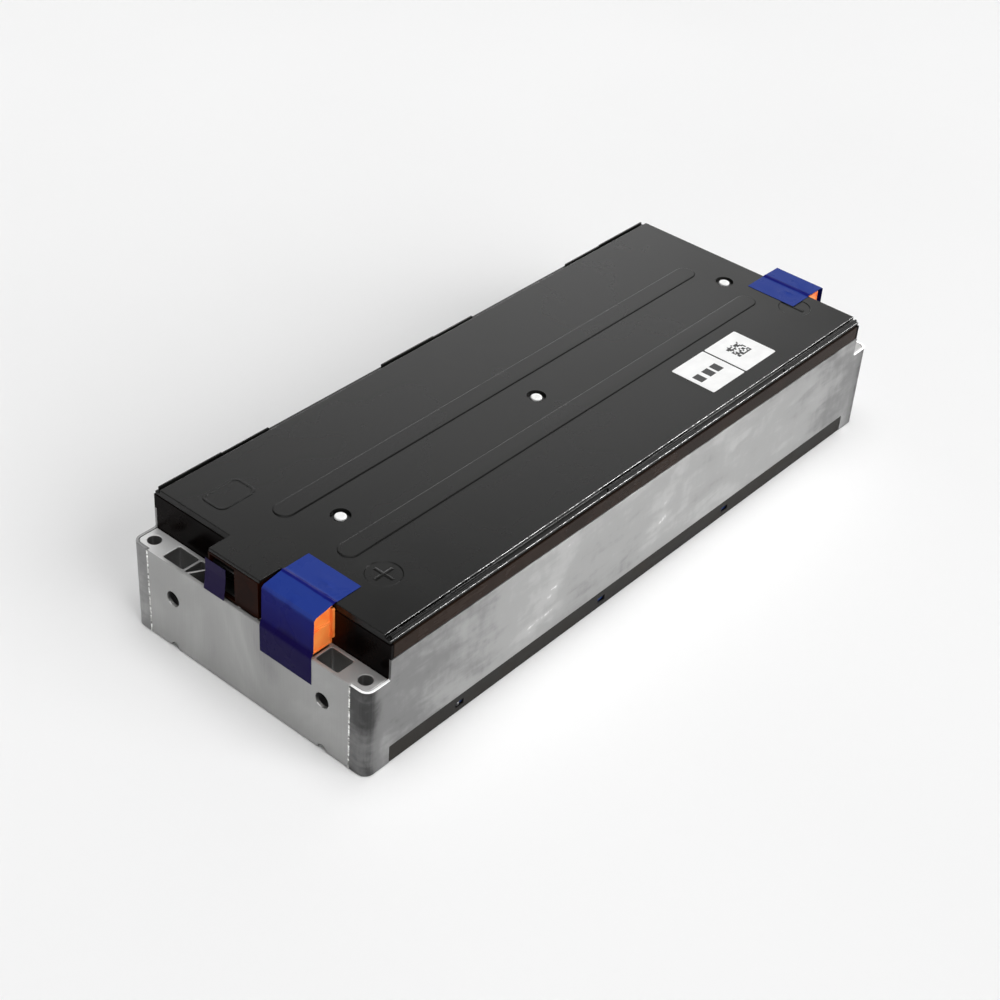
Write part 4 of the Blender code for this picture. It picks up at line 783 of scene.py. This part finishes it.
for node, end in (("front_terminal_cover", -1), ("rear_terminal_cover", 1)):
    cap_x = sorted(end * x for x in CAP_X)
    cap = new_block(node.replace("terminal_cover", "terminal_cap"), cap_x, CAP_Y, CAP_Z)
    shape(cap)
    for z in CAP_RIB_Z:
        cut("Z", z)
    for low, high in ((CAP_Z[0], CAP_RIB_Z[0]), (CAP_RIB_Z[1], CAP_Z[1])):
        for axis, side, face in ((1, -1, CAP_Y[0]), (1, 1, CAP_Y[1]), (0, end, end * CAP_X[1])):
            pick("FACE", lambda middle, way: way[axis] * side > 0.9 and abs(middle[axis] - face) < CLOSE_BY
                 and low < middle.z < high)
            bpy.ops.mesh.inset(thickness=CAP_PANEL_RIM, depth=0.0)
            step = [0.0, 0.0]
            step[axis] = -side * CAP_PANEL
            pull(*step)
    pick("FACE", lambda middle, way: abs(way.z) < 0.1 and CAP_RIB_Z[0] < middle.z < CAP_RIB_Z[1]
         and way.x * end > -0.9)
    rib = {"value": CAP_RIB, "use_even_offset": True}
    bpy.ops.mesh.extrude_region_shrink_fatten(TRANSFORM_OT_shrink_fatten=rib)
    pick("FACE", lambda middle, way: way.z < -0.9 and middle.z < CAP_Z[0] + CLOSE_BY)
    bpy.ops.mesh.inset(thickness=CAP_WALL, depth=0.0)
    pull(z=CAP_Z[1] - CAP_Z[0] - CAP_WALL)
    close()
    flange = new_block("flange", sorted((end * CAP_X[0], end * FLANGE_X)), FLANGE_Y, FLANGE_Z)
    shape(flange)
    pick("EDGE", lambda middle, way: abs(way.x) > 0.9)
    bpy.ops.mesh.bevel(offset=FLANGE_CORNER, segments=3)
    close()
    fuse(cap, flange)
    soften(cap, CAP_EDGE, 2)
    even_shading(cap)
    seat(cap, orange_plastic, "orange_plastic", node)


# Terminal tapes. A strip of thin blue film tape holds each terminal cover shut. It starts on the top cover,
# folds down over the step and the terminal cover, and sticks to the end plate's face. It is creased where
# it folds. Its colour is painted lighter with height: the top face over the cover is lightest, a painted
# light from above, and it grows darker toward the bottom, nearly black low on the end plate. A painted shade
# darkens it along the fold over the cover's edge.
TAPE_WALL = 0.22 * MM
FRONT_TAPE_RUN = ((250.0, 108.32), (262.0, 108.42), (271.2, 108.36), (273.6, 109.0), (276.0, 108.2),
                  (284.0, 106.7), (290.6, 105.75), (292.5, 104.0), (292.9, 92.0), (293.3, 78.2),
                  (295.2, 74.2), (295.25, 62.0), (295.2, 51.7))
REAR_TAPE_RUN = ((250.0, 108.32), (262.0, 108.42), (271.2, 108.36), (273.6, 109.1), (276.0, 108.8),
                 (284.0, 108.5), (292.6, 108.3), (294.6, 106.6), (294.8, 92.0), (295.0, 78.2), (295.2, 74.2),
                 (295.25, 62.0), (295.2, 51.7))
FRONT_TAPE_Y = (-62.6 * MM, -14.6 * MM)
REAR_TAPE_Y = (-62.4 * MM, -18.0 * MM)
TAPE_CREASES = (((268.0, -50.0, 108.35), (1.0, -0.9), 0.35, 16.0),
                ((280.0, -45.0, 107.5), (-1.0, -1.6), 0.3, 15.0))
TAPE_WRINKLE = 0.16 * MM
TAPE_WRINKLE_SIZE = 14.0 * MM
PAINTED_LIGHT_Z = (50.0 * MM, 108.0 * MM)
COVER_FOLD_OUT = (274.6 * MM, 276.4 * MM)
COVER_FOLD_IN = (272.8 * MM, 271.0 * MM)


def strip(name, run, y, cuts):
    """Fold a flat strip of tape along a run of (X, Z) places, in millimetres."""
    bpy.ops.object.select_all(action="DESELECT")
    first, second = run[:2]
    middle = ((first[0] + second[0]) / 2 * MM, (y[0] + y[1]) / 2, (first[1] + second[1]) / 2 * MM)
    bpy.ops.mesh.primitive_plane_add(size=1.0, location=middle)
    tape = bpy.context.object
    tape.name = name
    tape.scale = (abs(second[0] - first[0]) * MM, y[1] - y[0], 1.0)
    bpy.ops.object.transform_apply(location=True, rotation=True, scale=True)
    shape(tape)
    way = 1 if second[0] > first[0] else -1
    pick("VERT", lambda place, normal: (place.x - middle[0]) * way > 0)
    bpy.ops.transform.translate(value=(0.0, 0.0, (second[1] - first[1]) / 2 * MM))
    pick("VERT", lambda place, normal: (place.x - middle[0]) * way < 0)
    bpy.ops.transform.translate(value=(0.0, 0.0, (first[1] - second[1]) / 2 * MM))
    here = Vector((second[0] * MM, 0.0, second[1] * MM))
    for x, z in run[2:]:
        spot = Vector((x * MM, 0.0, z * MM))
        pick("EDGE", lambda middle, direction: abs(direction.y) > 0.9
             and abs(middle.x - here.x) < 0.01 * MM and abs(middle.z - here.z) < 0.01 * MM)
        pull(*(spot - here))
        here = spot
    bpy.ops.mesh.select_all(action="SELECT")
    bpy.ops.mesh.subdivide(number_cuts=cuts)
    close()
    return tape


def crease(tape, spot, direction, rise, reach):
    """Fold a straight crease into a tape: a cut through a spot, raised along its line."""
    line = Vector(direction).normalized()
    side = line.cross(Vector((0.0, 0.0, 1.0))).normalized()
    centre = Vector(spot)
    shape(tape)
    pick("FACE", lambda middle, way: (middle - centre).length < reach)
    bpy.ops.mesh.bisect(plane_co=centre, plane_no=side)
    pick("VERT", lambda place, way: abs((place - centre).dot(side)) < 0.02 * MM
         and (place - centre).length < reach * 0.8)
    bpy.ops.transform.translate(value=(0.0, 0.0, rise))
    close()


def wrinkle(tape, depth, size):
    """Ripple a tape's surface with soft uneven wrinkles."""
    take(tape)
    clouds = bpy.data.textures.new(f"{tape.name}_clouds", "CLOUDS")
    clouds.noise_scale = size
    clouds.noise_depth = 1
    ripple = tape.modifiers.new("ripple", "DISPLACE")
    ripple.texture = clouds
    ripple.strength = depth
    ripple.mid_level = 0.5
    bpy.ops.object.modifier_apply(modifier=ripple.name)
    bpy.data.textures.remove(clouds)


def thicken(tape, wall):
    """Give a tape its thickness and smooth shading."""
    take(tape)
    film = tape.modifiers.new("film", "SOLIDIFY")
    film.thickness = wall
    film.offset = -1.0
    bpy.ops.object.modifier_apply(modifier=film.name)
    shape(tape)
    bpy.ops.mesh.normals_make_consistent(inside=False)
    close()
    bpy.ops.object.shade_smooth_by_angle(angle=radians(28))


tape_film = new_finish("tape_film", {"Specular IOR Level": 0.035})
tape_cloud = noise(tape_film, 45.0, (1, 1, 1), detail=3.0, distortion=0.5)
tape_weave = noise(tape_film, 900.0, (1, 0.4, 1), detail=2.0)
# Painted light: the tape is painted lighter with height. It is lightest on its top face over the cover and
# nearly black low on the end plate.
tape_painted_height_light = position(tape_film, "Z", PAINTED_LIGHT_Z, both_ends=False, ease="LINEAR")
# Painted shade: a band along the fold over the cover's edge is painted darker.
tape_outside_painted_fold_shade = combined(tape_film, position(tape_film, "X", COVER_FOLD_OUT),
                     position(tape_film, "X", COVER_FOLD_IN), "MAXIMUM", share=2.0)
tape_level = combined(tape_film, tape_painted_height_light, tape_cloud, share=0.16)
tape_level = combined(tape_film, tape_level, tape_outside_painted_fold_shade, "MULTIPLY", share=0.16)
tint(tape_film, tape_level, [(0.2, (0.007, 0.003, 0.055)), (0.45, (0.007, 0.003, 0.060)),
                             (0.56, (0.006, 0.005, 0.110)), (0.88, (0.007, 0.010, 0.150)),
                             (0.95, (0.017, 0.040, 0.240))])
spread(tape_film, tape_cloud, "Roughness", 0.22, 0.4)
relief(tape_film, tape_cloud, 0.10 * MM, 0.35)
relief(tape_film, tape_weave, 0.02 * MM, 0.3)

for node, end, run, across in (("front_terminal_tape", -1, FRONT_TAPE_RUN, FRONT_TAPE_Y),
                               ("rear_terminal_tape", 1, REAR_TAPE_RUN, REAR_TAPE_Y)):
    tape = strip(node.replace("terminal_tape", "tape_strip"), [(end * x, z) for x, z in run], across, 5)
    for (x, y, z), (along_x, along_y), rise, reach in TAPE_CREASES:
        crease(tape, (end * x * MM, y * MM, z * MM), (end * along_x, along_y, 0.0), rise * MM, reach * MM)
    wrinkle(tape, TAPE_WRINKLE, TAPE_WRINKLE_SIZE)
    thicken(tape, TAPE_WALL)
    seat(tape, tape_film, "blue_tape", node)


# Connector tape. A short piece of the same tape closes the signal connector's socket.
# It hangs from the tongue's front edge and laps onto the end plate.
CONNECTOR_TAPE_X = (-292.6 * MM, -292.4 * MM)
CONNECTOR_TAPE_Y = (20.0 * MM, 39.5 * MM)
CONNECTOR_TAPE_Z = (90.0 * MM, 98.3 * MM)
CONNECTOR_RUN = ((-292.9, 90.0), (-293.8, 82.0), (-295.2, 73.6), (-295.25, 70.7))
CONNECTOR_WRINKLE = 0.12 * MM
CONNECTOR_WRINKLE_SIZE = 12.0 * MM
VIOLETS = ((0.013, 0.009, 0.040),) + 4 * ((0.017, 0.011, 0.050),)

connector_strip = new_block("connector_strip", CONNECTOR_TAPE_X, CONNECTOR_TAPE_Y, CONNECTOR_TAPE_Z)
shape(connector_strip)
for (x0, z0), (x1, z1) in zip(CONNECTOR_RUN, CONNECTOR_RUN[1:]):
    pick("FACE", lambda middle, way: way.z < -0.5 and abs(middle.z - z0 * MM) < 0.5 * MM)
    pull(x=(x1 - x0) * MM, z=(z1 - z0) * MM)
pick("FACE", lambda middle, way: abs(way.x) > 0.5)
bpy.ops.mesh.subdivide(number_cuts=6)
close()
wrinkle(connector_strip, CONNECTOR_WRINKLE, CONNECTOR_WRINKLE_SIZE)
even_shading(connector_strip, 40)
# The copy keeps the tape's painted light with height. With these colours, it only darkens the strip's lowest
# part a little.
violet_film = recoloured(tape_film, "violet_film", VIOLETS)
seat(connector_strip, violet_film, "blue_tape", "connector_tape")


# Labels. They are two rectangles of white film, stuck side by side on the cover.
# Black ink is printed on them: a square field of small squares on one, three plain bars on the other.
CODE_LABEL_X = (142.9 * MM, 183.4 * MM)
PLAIN_LABEL_X = (100.6 * MM, 141.2 * MM)
LABEL_Y = (-91.0 * MM, -51.0 * MM)
LABEL_Z = (108.11 * MM, 108.38 * MM)
LABEL_CORNER = 1.2 * MM
LABEL_EDGE = 0.05 * MM
PRINT_Z = 108.385 * MM
PRINT_RISE = 0.02 * MM
CODE_X = (155.6 * MM, 172.0 * MM)
CODE_Y = (-76.2 * MM, -61.4 * MM)
CODE_CELLS = (11, 11)
BARS_X = ((104.8 * MM, 112.2 * MM), (116.4 * MM, 123.8 * MM), (126.4 * MM, 133.8 * MM))
BARS_Y = (-76.6 * MM, -67.4 * MM)

label_film = new_finish("label_film", {"Specular IOR Level": 0.4})
label_cloud = noise(label_film, 90.0, detail=4.0)
label_fibre = noise(label_film, 1200.0, detail=2.0)
tint(label_film, label_cloud, [(0.3, (0.84, 0.84, 0.835)), (0.7, (0.91, 0.91, 0.905))])
spread(label_film, label_cloud, "Roughness", 0.45, 0.6)
relief(label_film, label_fibre, 0.01 * MM, 0.3)
for node, x in (("code_label", CODE_LABEL_X), ("plain_label", PLAIN_LABEL_X)):
    label = new_block(node.replace("label", "sticker"), x, LABEL_Y, LABEL_Z)
    shape(label)
    pick("EDGE", lambda middle, way: abs(way.z) > 0.9)
    bpy.ops.mesh.bevel(offset=LABEL_CORNER, segments=4)
    pick("EDGE", lambda middle, way: abs(way.z) < 0.1 and middle.z > LABEL_Z[0] + CLOSE_BY)
    bpy.ops.mesh.bevel(offset=LABEL_EDGE, segments=2)
    close()
    even_shading(label)
    seat(label, label_film, "label_film", node)

print_ink = new_finish("print_ink", {})
ink_cloud = noise(print_ink, 500.0, detail=3.0)
tint(print_ink, ink_cloud, [(0.3, (0.010, 0.010, 0.010)), (0.7, (0.030, 0.030, 0.030))])
spread(print_ink, ink_cloud, "Roughness", 0.45, 0.65)
relief(print_ink, ink_cloud, 0.005 * MM, 0.3)


def printed(name, x, y, cells=(1, 1), share=1.0, seed=1):
    """Add a printed field as a thin sheet of squares, of which a share stays."""
    bpy.ops.object.select_all(action="DESELECT")
    middle = ((x[0] + x[1]) / 2, (y[0] + y[1]) / 2, PRINT_Z)
    bpy.ops.mesh.primitive_grid_add(x_subdivisions=cells[0], y_subdivisions=cells[1], size=1.0,
                                    location=middle)
    field = bpy.context.object
    field.name = name
    field.scale = (x[1] - x[0], y[1] - y[0], 1.0)
    bpy.ops.object.transform_apply(location=True, rotation=True, scale=True)
    dice = random.Random(seed)
    shape(field)
    pick("FACE", lambda spot, way: dice.random() > share)
    bpy.ops.mesh.delete(type="FACE")
    bpy.ops.mesh.select_all(action="SELECT")
    pull(z=PRINT_RISE)
    bpy.ops.mesh.select_all(action="SELECT")
    bpy.ops.mesh.normals_make_consistent(inside=False)
    close()
    return field


fields = [printed("code_print", CODE_X, CODE_Y, CODE_CELLS, share=0.55, seed=7)]
for index, bar_x in enumerate(BARS_X):
    fields.append(printed(f"number_print_{index + 1}", bar_x, BARS_Y))
for field in fields:
    seat(field, print_ink, "label_film")


# Studio. The module stands on a plain pale floor, in wide soft light from above and from its right side.
# Panels that only gloss mirrors hang behind it for the satin cover, and beside it for its edges.
FLOOR_SIZE = 16.0
FLOOR_GAP = 0.5 * MM
MODULE_MIDDLE = Vector((0.0, 0.0, 0.1))
CAMERA_PLACE = (-0.93797, -0.71625, 0.89805)
CAMERA_TURN = (52.933, -3.373, -49.076)
CAMERA_LENS = 68.625

bpy.ops.object.select_all(action="DESELECT")
bpy.ops.mesh.primitive_plane_add(size=FLOOR_SIZE, location=(0.0, 0.0, -FLOOR_GAP))
floor = bpy.context.object
floor.name = "studio_floor"
floor_paint = new_finish("floor_paint", {"Roughness": 0.9, "Specular IOR Level": 0.1})
floor_cloud = noise(floor_paint, 1.5, detail=2.0)
tint(floor_paint, floor_cloud, [(0.3, (0.86, 0.86, 0.86)), (0.7, (0.88, 0.88, 0.88))])
floor.data.materials.append(floor_paint)

world = bpy.data.worlds.new("studio")
world.use_nodes = True
world.node_tree.nodes["Background"].inputs["Color"].default_value = (1.0, 1.0, 1.0, 1.0)
world.node_tree.nodes["Background"].inputs["Strength"].default_value = 0.22
bpy.context.scene.world = world


def hang(name, kind, power):
    """Hang a light in the scene."""
    lamp = bpy.data.lights.new(name, kind)
    lamp.energy = power
    holder = bpy.data.objects.new(name, lamp)
    bpy.context.scene.collection.objects.link(holder)
    return holder


def panel(name, place, width, height, power):
    """Hang a panel that points at the module and shows in glossy surfaces only."""
    holder = hang(name, "AREA", power)
    holder.data.shape = "RECTANGLE"
    holder.data.size = width
    holder.data.size_y = height
    holder.location = place
    holder.rotation_euler = (MODULE_MIDDLE - Vector(place)).to_track_quat("-Z", "Y").to_euler()
    holder.visible_diffuse = False


overhead_light = hang("overhead_light", "SUN", 1.55)
overhead_light.data.angle = radians(50)
side_fill = hang("side_fill", "SUN", 2.8)
side_fill.data.angle = radians(60)
side_fill.rotation_euler = (radians(68), 0.0, radians(4))
side_fill.visible_glossy = False
panel("rear_panel", (3.1, 2.45, 2.3), 2.4, 1.8, 29.0)
panel("left_panel", (1.3, 2.6, 2.3), 0.6, 0.6, 2.4)
panel("low_panel", (2.7, 2.8, 1.0), 2.0, 0.5, 18.0)
panel("edge_panel", (1.9, -1.7, 1.55), 1.3, 1.0, 160.0)
panel("corner_panel", (-1.1, -1.5, 2.3), 0.9, 0.9, 30.0)
panel("end_panel", (-1.9, 1.6, 2.0), 1.0, 0.6, 12.0)

camera = bpy.data.cameras.new("photo_camera")
camera.sensor_width = 36.0
camera.lens = CAMERA_LENS
camera.clip_start = 0.05
camera.clip_end = 60.0
photo_camera = bpy.data.objects.new("photo_camera", camera)
bpy.context.scene.collection.objects.link(photo_camera)
photo_camera.location = CAMERA_PLACE
photo_camera.rotation_euler = [radians(angle) for angle in CAMERA_TURN]
bpy.context.scene.camera = photo_camera
bpy.context.scene.view_settings.view_transform = "Standard"
